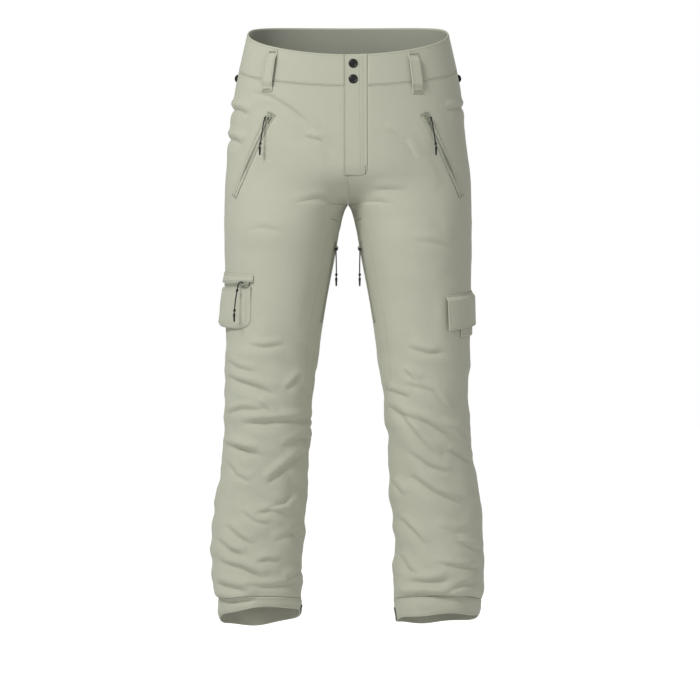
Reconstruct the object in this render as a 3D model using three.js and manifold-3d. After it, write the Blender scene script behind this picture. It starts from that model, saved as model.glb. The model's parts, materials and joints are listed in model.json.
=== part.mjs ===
// Insulated ski pants, shown filled out as they are worn, in millimetres.
// +X is the wearer's left, -Y the front and +Z up. The origin is the middle of the waist opening.
// The cloth parts are thin shells laid on one worn shape, skin(); zips, snaps and cord pulls are fitted to it.
import * as THREE from "three";
import { mergeVertices } from "three/addons/utils/BufferGeometryUtils.js";
import Module from "manifold-3d";

const wasm = await Module();
wasm.setup();

// ---------- driving dimensions ----------

// Body of the pants from the waist to the crotch: height, half width, depth to the front and to the back.
const TORSO = [
  [40, 171, 106, 104],
  [9, 178, 108, 108],
  [-44, 190, 112, 120],
  [-79, 197, 114.5, 130],
  [-114, 201, 117, 141],
  [-184, 209, 122, 155],
  [-280, 216, 123, 148],
];
// One leg from the crotch to the hem: height, middle and half width across, middle and half depth front to back.
const LEG = [
  [-280, 108.2, 107.8, 8, 130],
  [-289, 111, 105, 8, 129],
  [-315, 114.8, 101.8, 7, 125],
  [-367, 118.5, 96.5, 4, 116],
  [-446, 126, 89, -2, 104],
  [-525, 131, 82, -8, 95],
  [-604, 135.8, 77.8, -12, 90],
  [-709, 143.5, 74.5, -6, 88],
  [-814, 154, 79, 2, 88],
  [-919, 159.8, 79.2, 6, 90],
  [-948, 159.5, 79, 6, 90],
  [-972, 154.5, 74.5, 6, 86],
  [-1016, 154, 69, 6, 83],
];
const CROTCH_Z = -280;
const CROTCH_SWEEP_FRONT = 70; // height over which the centre seam turns under the body
const CROTCH_SWEEP_BACK = 95;
const THIGH_BLEND = { above: 80, below: 70, reach: 0.5 };
const TORSO_CORNER = 0.04; // how much fuller than an ellipse the section is at its corners
const LEG_CORNER = 0.02;
const WAIST_TOP = { front: -21, side: 21, back: 34 };
const WAIST_SEAM = { front: -76, side: -45, back: -36 };
const HEM_SEAM = { front: -962, side: -970, back: -978 };
const HEM_EDGE = { front: -988, side: -1000, back: -1012 };

const GAP = 0.3; // between pieces that touch
const INNER_GAP = 1.1; // between cloth layers on the inside of a curve
const PATCH_GAP = 0.6; // between a patch and the curved cloth under it
const SEAM_SHARE = 0.0008; // half a seam's gap, as a share of a panel's width
const SHELL = 2; // shell fabric with its insulation
const LINING = 0.8;
const BAND = 2.4; // waistband thickness
const HEM_BAND = 2.4;

const FLY = { left: 34, right: -6, bottom: -232, corner: 14, placket: 1.8 };
const SNAP = { x: 9, heights: [-37, -64], cap: 8, rise: 1.8, shank: 3, socket: 5.2, ball: 1.9 };
const SOCKET_HEIGHT = 2;
const UNDERLAP = { depth: 5.6, thick: 2, from: -26, to: 31 };
const SHIELD = { depth: 13.6, thick: 1.2, from: -26, to: 31, top: -82, bottom: -212, bend: [-19, -8] };
const LOOP = { width: 20, thick: 1.5, stand: 6.6, below: 20, top: 6 };
const LOOP_ANGLES = { front_left: 36, front_right: -43, back_left: 142, back_right: -142, back_centre: 180 };
const SIDE_LOOP = { width: 12, height: 13, rise: 4.5, z: -59 };

const ZIP = { tape: 9, thick: 1.2, coil: 5.2, coilRise: 0.9, slot: 1.8, end: 9 };
const SLIDER = { width: 8, length: 12, plate: 1.2, wedge: 1.1, clear: 0.4 };
const ARCH = { hole: 2.8, bar: 1, width: 2.4, length: 8 };
const CORD_RADIUS = 1.1;
const CORD_END = { length: 15, radius: 2.2 };
const HAND_ZIP = { top: [137, -133], bottom: [205, -292], travel: 140 };
const HAND_BAG = { top: -118, bottom: -288, ahead: 26, behind: 7, thick: 2.4, depth: 6.2, edge: 1.4 };
const VENT_ZIP = { top: -356, bottom: -490, travel: 120, turn: 163 };
const VENT_MESH = { halfTurn: 12, margin: 22, thick: 0.9, depth: 5.4 };
const FLY_ZIP = { x: 13, top: -98, bottom: -206, travel: 90, depth: 9.4 };
const FLY_PULL = { width: 7, length: 26, thick: 1.2, arm: 1.2, rest: 7 };

const WELT = { front: 64, back: -22, top: [-395, -404], rise: 5 };
const CARGO_ZIP = { z: -420, rise: 4.2, from: 55, to: 5, travel: 55 };
const POUCH = { front: 62, back: -20, bottom: [-489, -498], topRise: 5, bottomRise: 13 };
const FLAP = { front: 61, back: -20, top: [-427, -440], bottom: [-484, -501], thick: 1.6 };
const FLAP_RISE = { step: 7.2, bottom: 11 };
const FLAP_POUCH = { front: 40, back: -14, top: [-452, -452], bottom: [-524, -524], wall: 1.4, rise: 6.6 };

const GAITER = { top: -884, bottom: -984, depth: 15, thick: 1.2 };
const KICK = { from: 168, to: 238, top: -974, thick: 1 };

const SAGE = 0x9c9d8b;
const BLACK = 0x151515;

// ---------- small helpers ----------

const lerp = THREE.MathUtils.lerp;
const rad = THREE.MathUtils.degToRad;
const clamp = THREE.MathUtils.clamp;

// Smooth reading of one column of a table of heights, with no overshoot between its rows.
function reading(table, column, z) {
  const rows = table.length - 1;
  if (z >= table[0][0]) return table[0][column];
  if (z <= table[rows][0]) return table[rows][column];
  let k = 0;
  while (z < table[k + 1][0]) k += 1;
  const slope = (i) => (table[i + 1][column] - table[i][column]) / (table[i + 1][0] - table[i][0]);
  const tangent = (i) => {
    if (i === 0) return slope(0);
    if (i === rows) return slope(rows - 1);
    const [before, after] = [slope(i - 1), slope(i)];
    return before * after <= 0 ? 0 : (2 * before * after) / (before + after);
  };
  const step = table[k + 1][0] - table[k][0];
  const u = (z - table[k][0]) / step;
  const [u2, u3] = [u * u, u * u * u];
  return (
    (2 * u3 - 3 * u2 + 1) * table[k][column] +
    (u3 - 2 * u2 + u) * step * tangent(k) +
    (3 * u2 - 2 * u3) * table[k + 1][column] +
    (u3 - u2) * step * tangent(k + 1)
  );
}

// A level that differs at the front, the sides and the back; facing is 1 at the front and -1 at the back.
function level({ front, side, back }, facing) {
  const bend = (front + back) / 2 - side;
  return side + ((front - back) / 2) * facing + bend * facing * facing;
}

// ---------- the worn shape ----------

// Share of leg in the section: 0 at the hips, 1 below the crotch. The centre seam turns under on an ellipse,
// and the cloth away from it changes gently.
function legShare(s, z) {
  const sweep = lerp(CROTCH_SWEEP_FRONT, CROTCH_SWEEP_BACK, (s + 1) / 2);
  const q = clamp((CROTCH_Z + sweep - z) / sweep, 0, 1);
  const atSeam = 1 - Math.sqrt(1 - q * q);
  const awayFromSeam = THREE.MathUtils.smoothstep(CROTCH_Z - z, -THIGH_BLEND.above, THIGH_BLEND.below);
  return lerp(atSeam, awayFromSeam, THREE.MathUtils.smoothstep(1 - Math.abs(s), 0, THIGH_BLEND.reach));
}

// A point of the cloth's outside. s is -1 at the centre front or inseam, 0 at the side seam, 1 at the back.
function skinPoint(side, s, z) {
  const back = Math.sign(s);
  const turn = Math.abs(s) * (Math.PI / 2);
  const fuller = 1 + TORSO_CORNER * Math.sin(2 * turn) ** 2;
  const hipX = reading(TORSO, 1, z) * Math.cos(turn) * fuller;
  const hipY = reading(TORSO, back < 0 ? 2 : 3, z) * Math.sin(turn) * fuller * back;
  const legTurn = 2 * turn;
  const legFuller = 1 + LEG_CORNER * Math.sin(2 * legTurn) ** 2;
  const legX = reading(LEG, 1, z) + reading(LEG, 2, z) * Math.cos(legTurn) * legFuller;
  const legY = reading(LEG, 3, z) + reading(LEG, 4, z) * Math.sin(legTurn) * legFuller * back;
  const share = legShare(s, z);
  return new THREE.Vector3(side * lerp(hipX, legX, share), lerp(hipY, legY, share), z);
}

// The same point with its outward normal.
function skin(side, s, z) {
  const [ds, dz] = [0.004, 0.5];
  const [s0, s1] = [Math.max(s - ds, -1), Math.min(s + ds, 1)];
  const along = skinPoint(side, s1, z).sub(skinPoint(side, s0, z));
  const down = skinPoint(side, s, z - dz).sub(skinPoint(side, s, z + dz));
  const normal = down.cross(along).normalize().multiplyScalar(side);
  return { point: skinPoint(side, s, z), normal };
}

// Round the waist and hips by angle: 0 at the centre front, 90 at the wearer's left.
function hipTurn(angle) {
  const a = THREE.MathUtils.euclideanModulo(angle, 360);
  if (a <= 180) return [1, a / 90 - 1];
  return [-1, 3 - a / 90];
}

// Round one leg by angle: 0 at its outer side, 90 at the front, 180 at the inseam.
function legTurn(angle) {
  const a = THREE.MathUtils.euclideanModulo(angle, 360);
  return a <= 180 ? -a / 180 : (360 - a) / 180;
}

const onHips = (angle, z) => skin(...hipTurn(angle), z);
const onLeg = (side) => (angle, z) => skin(side, legTurn(angle), z);
const hipFacing = (angle) => Math.cos(rad(angle));
const legFacing = (angle) => Math.sin(rad(angle));

// The place between two values where a test stops being true.
function bisect(low, high, test) {
  let [from, to] = [low, high];
  for (let i = 0; i < 40; i += 1) {
    const middle = (from + to) / 2;
    if (test(middle)) from = middle;
    else to = middle;
  }
  return (from + to) / 2;
}

// The angle round the hips at which the front of the pants is x to the side of the centre.
const hipAngle = (x, z) => bisect(-80, 80, (angle) => skinPoint(...hipTurn(angle), z).x < x);

// ---------- shells and solids ----------

// A closed shell between two grids of points. A wrapped shell joins its last column to its first.
function shellBetween(outer, inner, wrapped = false) {
  const columns = outer.length;
  const rows = outer[0].length;
  const positions = [...outer.flat(), ...inner.flat()].flatMap((p) => [p.x, p.y, p.z]);
  const at = (i, j, side) => side * columns * rows + (i % columns) * rows + j;
  const faces = [];
  const quad = (a, b, c, d) => faces.push(a, b, c, a, c, d);
  const last = wrapped ? columns : columns - 1;
  for (let i = 0; i < last; i += 1) {
    for (let j = 0; j < rows - 1; j += 1) {
      quad(at(i, j, 0), at(i + 1, j, 0), at(i + 1, j + 1, 0), at(i, j + 1, 0));
      quad(at(i, j, 1), at(i, j + 1, 1), at(i + 1, j + 1, 1), at(i + 1, j, 1));
    }
    quad(at(i, 0, 0), at(i, 0, 1), at(i + 1, 0, 1), at(i + 1, 0, 0));
    quad(at(i, rows - 1, 0), at(i + 1, rows - 1, 0), at(i + 1, rows - 1, 1), at(i, rows - 1, 1));
  }
  if (!wrapped) {
    for (let j = 0; j < rows - 1; j += 1) {
      quad(at(0, j, 0), at(0, j + 1, 0), at(0, j + 1, 1), at(0, j, 1));
      const end = columns - 1;
      quad(at(end, j, 0), at(end, j, 1), at(end, j + 1, 1), at(end, j + 1, 0));
    }
  }
  return facingOut(positions, faces);
}

function facingOut(positions, faces) {
  const [a, b, c] = [new THREE.Vector3(), new THREE.Vector3(), new THREE.Vector3()];
  let volume = 0;
  for (let i = 0; i < faces.length; i += 3) {
    a.fromArray(positions, faces[i] * 3);
    b.fromArray(positions, faces[i + 1] * 3);
    c.fromArray(positions, faces[i + 2] * 3);
    volume += a.dot(b.cross(c));
  }
  if (volume < 0) {
    for (let i = 0; i < faces.length; i += 3) [faces[i + 1], faces[i + 2]] = [faces[i + 2], faces[i + 1]];
  }
  const geometry = new THREE.BufferGeometry();
  geometry.setAttribute("position", new THREE.Float32BufferAttribute(positions, 3));
  geometry.setIndex(faces);
  return geometry;
}

const constant = (value) => (typeof value === "function" ? value : () => value);

// A layer of cloth on a surface: place(u, v) gives a point and normal, top and bottom its faces' heights over it.
function layer(place, columns, rows, top, bottom, wrapped = false) {
  const [over, under] = [constant(top), constant(bottom)];
  const [outer, inner] = [[], []];
  for (let i = 0; i < columns + (wrapped ? 0 : 1); i += 1) {
    const [outerColumn, innerColumn] = [[], []];
    for (let j = 0; j <= rows; j += 1) {
      const [u, v] = [i / columns, j / rows];
      const { point, normal } = place(u, v);
      outerColumn.push(point.clone().addScaledVector(normal, over(u, v)));
      innerColumn.push(point.clone().addScaledVector(normal, under(u, v)));
    }
    outer.push(outerColumn);
    inner.push(innerColumn);
  }
  return shellBetween(outer, inner, wrapped);
}

function solid(geometry) {
  const plain = new THREE.BufferGeometry();
  const source = geometry.index ? geometry.toNonIndexed() : geometry;
  plain.setAttribute("position", source.getAttribute("position"));
  const merged = mergeVertices(plain, 1e-4);
  return new wasm.Manifold(
    new wasm.Mesh({
      numProp: 3,
      vertProperties: merged.attributes.position.array,
      triVerts: new Uint32Array(merged.index.array),
    }),
  );
}

function geometryOf(made) {
  const mesh = made.getMesh();
  const geometry = new THREE.BufferGeometry();
  geometry.setAttribute("position", new THREE.BufferAttribute(mesh.vertProperties, 3));
  geometry.setIndex(new THREE.BufferAttribute(mesh.triVerts, 1));
  return geometry;
}

// A box by its lowest and highest corner.
function block(low, high) {
  const size = high.map((v, i) => v - low[i]);
  const geometry = new THREE.BoxGeometry(...size);
  geometry.translate(...low.map((v, i) => v + size[i] / 2));
  return geometry;
}

// A turned solid about +Z from its profile of [radius, height] points, bottom to top.
function turned(profile, segments = 20) {
  const geometry = new THREE.LatheGeometry(
    profile.map(([r, z]) => new THREE.Vector2(r, z)),
    segments,
  );
  geometry.rotateX(Math.PI / 2);
  return geometry;
}

// ---------- materials and placing ----------

const materials = {
  shell: new THREE.MeshStandardMaterial({ color: SAGE, roughness: 0.85 }),
  lining: new THREE.MeshStandardMaterial({ color: 0x8a8d7f, roughness: 0.95 }),
  zip: new THREE.MeshStandardMaterial({ color: 0x8b8c7b, roughness: 0.7 }),
  slider: new THREE.MeshStandardMaterial({ color: 0x85867a, roughness: 0.45, metalness: 0.6 }),
  snap: new THREE.MeshStandardMaterial({ color: BLACK, roughness: 0.4, metalness: 0.7 }),
  cord: new THREE.MeshStandardMaterial({ color: BLACK, roughness: 0.9 }),
  rubber: new THREE.MeshStandardMaterial({ color: BLACK, roughness: 0.6 }),
  webbing: new THREE.MeshStandardMaterial({ color: BLACK, roughness: 0.85 }),
};

const pants = new THREE.Group();

function add(name, geometry, material, parent = pants) {
  const mesh = new THREE.Mesh(geometry, materials[material]);
  mesh.name = name;
  parent.add(mesh);
  return mesh;
}

// A group whose local axes are across, up and out, with its origin at a point.
function stand(origin, up, out) {
  const across = new THREE.Vector3().crossVectors(up, out).normalize();
  const trueOut = new THREE.Vector3().crossVectors(across, up).normalize();
  const group = new THREE.Group();
  group.position.copy(origin);
  group.quaternion.setFromRotationMatrix(new THREE.Matrix4().makeBasis(across, up, trueOut));
  pants.add(group);
  return group;
}

// The cut or piece made in a group's axes, as a solid in the pants' own axes.
function placed(geometry, group) {
  group.updateMatrixWorld(true);
  return solid(geometry.clone().applyMatrix4(group.matrixWorld));
}

const SIDES = [
  ["left", 1],
  ["right", -1],
];
const AXIS = {
  x: new THREE.Vector3(1, 0, 0),
  y: new THREE.Vector3(0, 1, 0),
  z: new THREE.Vector3(0, 0, 1),
};

// ---------- paths that zips follow ----------

// A path gives, t millimetres down it, a point with the ways down, out of the cloth and across.
function straightPath(top, bottom, out) {
  const down = bottom.clone().sub(top).normalize();
  const square = out.clone().addScaledVector(down, -out.dot(down)).normalize();
  const across = square.clone().cross(down);
  const path = (t) => ({ point: top.clone().addScaledVector(down, t), down, out: square, across });
  return Object.assign(path, { steps: 1 });
}

// The circle through three points, followed from the first to the last.
function arcPath(first, middle, last) {
  const [a, b] = [first.clone().sub(last), middle.clone().sub(last)];
  const axis = a.clone().cross(b);
  const toCentre = b
    .clone()
    .multiplyScalar(a.lengthSq())
    .addScaledVector(a, -b.lengthSq())
    .cross(axis)
    .divideScalar(2 * axis.lengthSq());
  const centre = last.clone().add(toCentre);
  axis.normalize();
  const spoke = first.clone().sub(centre);
  const radius = spoke.length();
  const check = spoke.clone().applyAxisAngle(axis, 0.01).add(centre);
  if (check.distanceTo(last) > first.distanceTo(last)) axis.negate();
  const path = (t) => {
    const out = spoke.clone().applyAxisAngle(axis, t / radius);
    const point = centre.clone().add(out);
    out.normalize();
    const down = axis.clone().cross(out);
    return { point, down, out, across: out.clone().cross(down) };
  };
  return Object.assign(path, { steps: 7, centre, axis });
}

// A bar that follows a path from one distance to another, between two places across it and two heights over it.
function bar(path, from, to, across, out) {
  const place = (u, v) => {
    const at = path(lerp(from, to, v));
    return { point: at.point.addScaledVector(at.across, lerp(across[0], across[1], u)), normal: at.out };
  };
  return solid(layer(place, 1, path.steps, out[1], out[0]));
}

const frontPoint = (x, z, depth = 0) => {
  const { point, normal } = onHips(hipAngle(x, z), z);
  return point.addScaledVector(normal, -depth);
};

// The hand pocket's zip bends only out of the cloth: seen square to its middle it is straight.
function handZipPath(side) {
  const ends = [HAND_ZIP.top, HAND_ZIP.bottom].map(([x, z]) => onHips(side * hipAngle(x, z), z));
  const out = ends[0].normal.clone().add(ends[1].normal);
  const [top, bottom] = ends.map(({ point }) => point);
  const sideways = bottom.clone().sub(top).cross(out).multiplyScalar(side);
  const z = (top.z + bottom.z) / 2;
  const middle = bisect(-1, 0, (s) => skinPoint(side, s, z).sub(top).dot(sideways) > 0);
  return arcPath(top, skinPoint(side, middle, z), bottom);
}

// Where the hand pocket's zip lies in the front panel, as the skin's s at a height.
function handZipTurn(z) {
  const [topX, topZ] = HAND_ZIP.top;
  const [bottomX, bottomZ] = HAND_ZIP.bottom;
  const [top, bottom] = [hipAngle(topX, topZ), hipAngle(bottomX, bottomZ)];
  return lerp(top, bottom, (z - topZ) / (bottomZ - topZ)) / 90 - 1;
}

function ventZipPath(side) {
  const upper = onLeg(side)(VENT_ZIP.turn, VENT_ZIP.top);
  const lower = onLeg(side)(VENT_ZIP.turn, VENT_ZIP.bottom);
  return straightPath(upper.point, lower.point, upper.normal.add(lower.normal));
}

function cargoZipPath() {
  const at = (turn) => {
    const { point, normal } = onLeg(-1)(turn, CARGO_ZIP.z);
    return point.addScaledVector(normal.setZ(0).normalize(), CARGO_ZIP.rise);
  };
  const { from, to } = CARGO_ZIP;
  return arcPath(at(from), at((from + to) / 2), at(to));
}

function flyZipPath() {
  const { x, top, bottom, depth } = FLY_ZIP;
  const out = onHips(hipAngle(x, top), top).normal.setX(0);
  return straightPath(frontPoint(x, top, depth).setX(x), frontPoint(x, bottom, depth).setX(x), out);
}

// ---------- zips, sliders and pulls ----------

// Tape and coil in one piece, with the slot that the slider's wedge runs in.
function zipTrack(path, travel) {
  const half = ZIP.tape / 2;
  const tape = bar(path, -ZIP.end, travel + ZIP.end, [-half, half], [-ZIP.thick / 2, ZIP.thick / 2]);
  const coilTop = ZIP.thick / 2 + ZIP.coilRise;
  const coil = bar(path, -ZIP.end / 2, travel + ZIP.end / 2, [-ZIP.coil / 2, ZIP.coil / 2], [0, coilTop]);
  const reach = SLIDER.length / 2;
  const slot = bar(path, -reach, travel + reach, [-ZIP.slot / 2, ZIP.slot / 2], [-5, 5]);
  return geometryOf(tape.add(coil).subtract(slot));
}

// The hole that a zip needs in the cloth it is set in.
function zipHole(path, travel) {
  const [half, end] = [ZIP.tape / 2 + GAP, ZIP.end + GAP];
  return bar(path, -end, travel + end, [-half, half], [-20, 20]);
}

const platesLow = ZIP.thick / 2 + SLIDER.clear;
const frontPlate = ZIP.thick / 2 + ZIP.coilRise + SLIDER.clear;
const archFoot = frontPlate + SLIDER.plate;
const pullAxis = archFoot + ARCH.hole / 2; // height over the tape of the pull's turning axis

// Slider of a zip: two plates joined by the wedge between the tapes, and the arch that holds the pull.
function sliderBody() {
  const [halfWidth, halfLength] = [SLIDER.width / 2, SLIDER.length / 2];
  const front = block([-halfWidth, -halfLength, frontPlate], [halfWidth, halfLength, archFoot]);
  const back = block([-halfWidth, -halfLength, -platesLow - SLIDER.plate], [halfWidth, halfLength, -platesLow]);
  const wedge = block([-SLIDER.wedge / 2, -3, -platesLow - 0.5], [SLIDER.wedge / 2, 3, frontPlate + 0.5]);
  const high = archFoot + ARCH.hole + ARCH.bar;
  const foot = ARCH.length / 2;
  const outline = new THREE.Shape();
  outline.moveTo(-foot, archFoot - 0.4);
  outline.lineTo(foot, archFoot - 0.4);
  outline.quadraticCurveTo(foot, high, foot / 2, high);
  outline.lineTo(-foot / 2, high);
  outline.quadraticCurveTo(-foot, high, -foot, archFoot - 0.4);
  const hole = new THREE.Path();
  hole.absellipse(0, pullAxis, foot / 2, ARCH.hole / 2, 0, Math.PI * 2);
  outline.holes.push(hole);
  const arch = new THREE.ExtrudeGeometry(outline, { depth: ARCH.width, bevelEnabled: false, curveSegments: 4 });
  const basis = new THREE.Matrix4().makeBasis(AXIS.y, AXIS.z, AXIS.x);
  arch.applyMatrix4(basis);
  arch.translate(-ARCH.width / 2, 0, 0);
  return geometryOf(solid(front).add(solid(back)).add(solid(wedge)).add(solid(arch)));
}

// Routes of the cord pulls from the middle of the arch, in millimetres to the side, away from the body and up.
// A hand pocket's cord lies on the slope of the hip, and a vent's hangs straight.
const HAND_ROUTE = [
  [0, 0, 0],
  [2.5, 0, 0],
  [4.8, 0.4, -0.7],
  [6, 1.6, -3],
  [6.2, 4, -10],
  [6, 7.5, -22],
  [5.7, 10.5, -34],
  [5.6, 12.8, -44],
  [5.6, 14.5, -52],
];
const VENT_ROUTE = [
  [0, 0, 0],
  [2.5, 0, 0],
  [4.8, 0, -0.7],
  [6, 0, -3],
  [6.2, 0, -10],
  [6, 0.2, -22],
  [5.7, 0.3, -34],
  [5.6, 0.3, -44],
  [5.6, 0.2, -52],
];
// The cargo pull's cord comes out over its slider, goes along the zip and hangs over the pouch.
const CARGO_ROUTE = [
  [0, 0, 0],
  [0, 0.2, 2.2],
  [2.6, 0.8, 4],
  [6, 1.4, 3.6],
  [8.4, 2.2, 0.6],
  [9, 3.4, -6],
  [9.4, 6.4, -18],
  [9.6, 8.8, -30],
  [9.6, 10.6, -42],
  [9.6, 11.8, -51],
];

function cordTube(route, start, sideways, away) {
  const points = route.map(([a, b, c]) =>
    start.clone().addScaledVector(sideways, a).addScaledVector(away, b).addScaledVector(AXIS.z, c),
  );
  const curve = new THREE.CatmullRomCurve3(points);
  const section = new THREE.Shape();
  section.absarc(0, 0, CORD_RADIUS, 0, Math.PI * 2);
  const options = { extrudePath: curve, steps: 20, curveSegments: 4, bevelEnabled: false };
  return { geometry: new THREE.ExtrudeGeometry(section, options), end: points[points.length - 1] };
}

// The moulded end of a cord pull, hanging from its origin: a bead and a tapered tip.
function cordEnd() {
  const { length, radius } = CORD_END;
  const profile = [
    [0, -length],
    [radius * 0.6, -length],
    [radius * 0.8, -length * 0.4],
    [radius, -length * 0.3],
    [radius, -length * 0.1],
    [radius * 0.7, 0],
    [0, 0],
  ];
  return turned(profile, 8);
}

function addSlider(name, path) {
  const { point, down, out } = path(0);
  add(name, sliderBody(), "slider", stand(point, down.clone().negate(), out));
}

// A cord pull in a resting slider, hanging down from its arch.
function addCordPull(place, path, route, sideways, suffix = "") {
  const { point, out } = path(0);
  const start = point.clone().addScaledVector(out, pullAxis);
  const away = out.clone().setZ(0).normalize();
  const { geometry, end } = cordTube(route, start, sideways, away);
  add(`${place}_cord${suffix}`, geometry, "cord");
  add(`${place}_cord_end${suffix}`, cordEnd(), "rubber").position.copy(end).addScaledVector(AXIS.z, -GAP);
}

// The flat metal pull of the fly's slider: a pin in the arch, two arms and a tab.
function flyPull() {
  const half = FLY_PULL.width / 2;
  const thick = FLY_PULL.thick / 2;
  const inner = half - FLY_PULL.arm;
  const pin = block([-half, -0.9, -0.9], [half, 0.9, 0.9]);
  const arms = [-1, 1].map((side) =>
    block([side < 0 ? -half : inner, -FLY_PULL.rest - 1, -thick], [side < 0 ? -inner : half, 0.9, thick]),
  );
  const tab = block([-half, -FLY_PULL.length, -thick], [half, -FLY_PULL.rest, thick]);
  return geometryOf(arms.reduce((made, arm) => made.add(solid(arm)), solid(pin).add(solid(tab))));
}

// ---------- shell panels, waistband and hems ----------

const PANEL_COLUMNS = 11;
const LEG_COLUMNS = 2 * PANEL_COLUMNS;
const HIP_ROWS = 5;
const SWEEP_ROWS = 5;
const LEG_ROWS = 15;

// Height of a panel's row: even down the hips, closer where the centre seam turns under, even down the leg.
function panelHeight(s, v) {
  const rows = HIP_ROWS + SWEEP_ROWS + LEG_ROWS;
  const row = v * rows;
  const sweepTop = CROTCH_Z + lerp(CROTCH_SWEEP_FRONT, CROTCH_SWEEP_BACK, (s + 1) / 2);
  const facing = -Math.sin((s * Math.PI) / 2);
  if (row <= HIP_ROWS) return lerp(level(WAIST_SEAM, facing), sweepTop, row / HIP_ROWS);
  if (row <= HIP_ROWS + SWEEP_ROWS) {
    const psi = ((row - HIP_ROWS) / SWEEP_ROWS) * (Math.PI / 2);
    return lerp(sweepTop, CROTCH_Z, Math.sin(psi));
  }
  const down = (row - HIP_ROWS - SWEEP_ROWS) / LEG_ROWS;
  return lerp(CROTCH_Z, level(HEM_SEAM, Math.sin(-s * Math.PI)), down);
}

function panel(side, back) {
  const [from, to] = back ? [SEAM_SHARE, 1 - SEAM_SHARE] : [-1 + SEAM_SHARE, -SEAM_SHARE];
  const place = (u, v) => {
    const s = lerp(from, to, u);
    return skin(side, s, panelHeight(s, v));
  };
  return solid(layer(place, PANEL_COLUMNS, HIP_ROWS + SWEEP_ROWS + LEG_ROWS, 0, -SHELL));
}

// The upright block that holds the fly's flap, from one x to another, with its lower left corner rounded.
function flyBlock(from, to, bottom) {
  const outline = new THREE.Shape();
  outline.moveTo(from, 0);
  outline.lineTo(from, bottom);
  outline.lineTo(to - FLY.corner, bottom);
  outline.quadraticCurveTo(to, bottom, to, bottom + FLY.corner);
  outline.lineTo(to, 0);
  const cut = new THREE.ExtrudeGeometry(outline, { depth: 100, bevelEnabled: false, curveSegments: 4 });
  cut.rotateX(Math.PI / 2);
  cut.translate(0, -60, 0);
  return solid(cut);
}

function addPanels() {
  for (const [name, side] of SIDES) {
    let front = panel(side, false);
    front = front.subtract(zipHole(handZipPath(side), HAND_ZIP.travel));
    front = front.subtract(zipHole(ventZipPath(side), VENT_ZIP.travel));
    const [from, to] = side > 0 ? [FLY.right - FLY.left, FLY.left + GAP] : [FLY.right - GAP, FLY.left];
    front = front.subtract(flyBlock(from, to, FLY.bottom - GAP));
    add(`front_panel_${name}`, geometryOf(front), "shell");
    add(`back_panel_${name}`, geometryOf(panel(side, true)), "shell");
  }
}

// Part of a ring of cloth round the hips between two angles.
function band(from, to, topLevel, bottomLevel, columns, rows, top, bottom) {
  const place = (u, v) => {
    const angle = lerp(from, to, u);
    return onHips(angle, lerp(level(topLevel, hipFacing(angle)), level(bottomLevel, hipFacing(angle)), v));
  };
  return layer(place, columns, rows, top, bottom);
}

const SIDE_JOIN = 84; // angle of the waistband's side joins

function addWaistband() {
  const foot = shifted(WAIST_SEAM, GAP);
  // A front half runs from the fly's edge, at one x all the way down, to the side join.
  const frontHalf = (x, side) => {
    const place = (u, v) => {
      const about = lerp(hipAngle(x, WAIST_SEAM.front), side, u);
      const z = lerp(level(WAIST_TOP, hipFacing(about)), level(foot, hipFacing(about)), v);
      return onHips(lerp(hipAngle(x, z), side, u), z);
    };
    return layer(place, 8, 2, 0, -BAND);
  };
  add("waistband_left", frontHalf(FLY.left + GAP, SIDE_JOIN), "shell");
  add("waistband_right", frontHalf(FLY.right - GAP, -SIDE_JOIN), "shell");
  const seam = 0.1;
  const back = band(SIDE_JOIN + seam, 360 - SIDE_JOIN - seam, WAIST_TOP, foot, 18, 2, 0, -BAND);
  add("waistband_back", back, "shell");
  const depth = BAND + INNER_GAP;
  const lining = band(36, 324, shifted(WAIST_TOP, -2), shifted(foot, 2), 24, 2, -depth, -depth - LINING);
  add("waistband_lining", lining, "lining");
}

const shifted = ({ front, side, back }, by) => ({ front: front + by, side: side + by, back: back + by });

function addHems() {
  for (const [name, side] of SIDES) {
    const ring = (top, bottom, from, to, columns, rows, high, low, wrapped) => {
      const place = (u, v) => {
        const angle = lerp(from, to, u);
        return onLeg(side)(angle, lerp(level(top, legFacing(angle)), level(bottom, legFacing(angle)), v));
      };
      return layer(place, columns, rows, high, low, wrapped);
    };
    const head = shifted(HEM_SEAM, -2 * GAP);
    add(`hem_band_${name}`, ring(head, HEM_EDGE, 0, 360, LEG_COLUMNS, 2, 0, -HEM_BAND, true), "shell");
    const patchTop = { front: KICK.top, side: KICK.top - 8, back: KICK.top - 8 };
    const patch = ring(patchTop, shifted(HEM_EDGE, 1), KICK.from, KICK.to, 8, 3, GAP + KICK.thick, GAP);
    add(`kick_patch_${name}`, patch, "rubber");
    const close = (v) => lerp(SHELL + INNER_GAP, GAITER.depth, Math.min(1, v * 3));
    const place = (u, v) => onLeg(side)(u * 360, lerp(GAITER.top, GAITER.bottom, v));
    const gaiter = layer(place, LEG_COLUMNS, 3, (u, v) => -close(v), (u, v) => -close(v) - GAITER.thick, true);
    add(`boot_gaiter_${name}`, gaiter, "lining");
  }
}

// ---------- fly ----------

// The flap that covers the fly's zip, with the waistband's tab at its top in one piece.
function flyFlap() {
  const top = (x) => level(WAIST_TOP, hipFacing(hipAngle(x, -30)));
  const place = (u, v) => {
    const x = lerp(FLY.left - GAP, FLY.right, u);
    const z = lerp(top(x), FLY.bottom - 1, v);
    const { point, normal } = onHips(hipAngle(x, z), z);
    return { point: point.setX(x), normal: normal.setX(0).normalize() };
  };
  const thick = (u, v) => (v < 0.3 ? -BAND : -FLY.placket);
  let flap = solid(layer(place, 3, 14, 0, thick)).intersect(flyBlock(FLY.right - 1, FLY.left - GAP, FLY.bottom));
  for (const z of SNAP.heights) flap = flap.subtract(snapBore(z, SNAP.shank + GAP));
  return geometryOf(flap);
}

function snapStand(z) {
  const { normal } = onHips(hipAngle(SNAP.x, z), z);
  return stand(frontPoint(SNAP.x, z), AXIS.x.clone(), normal.setX(0).normalize());
}

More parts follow.
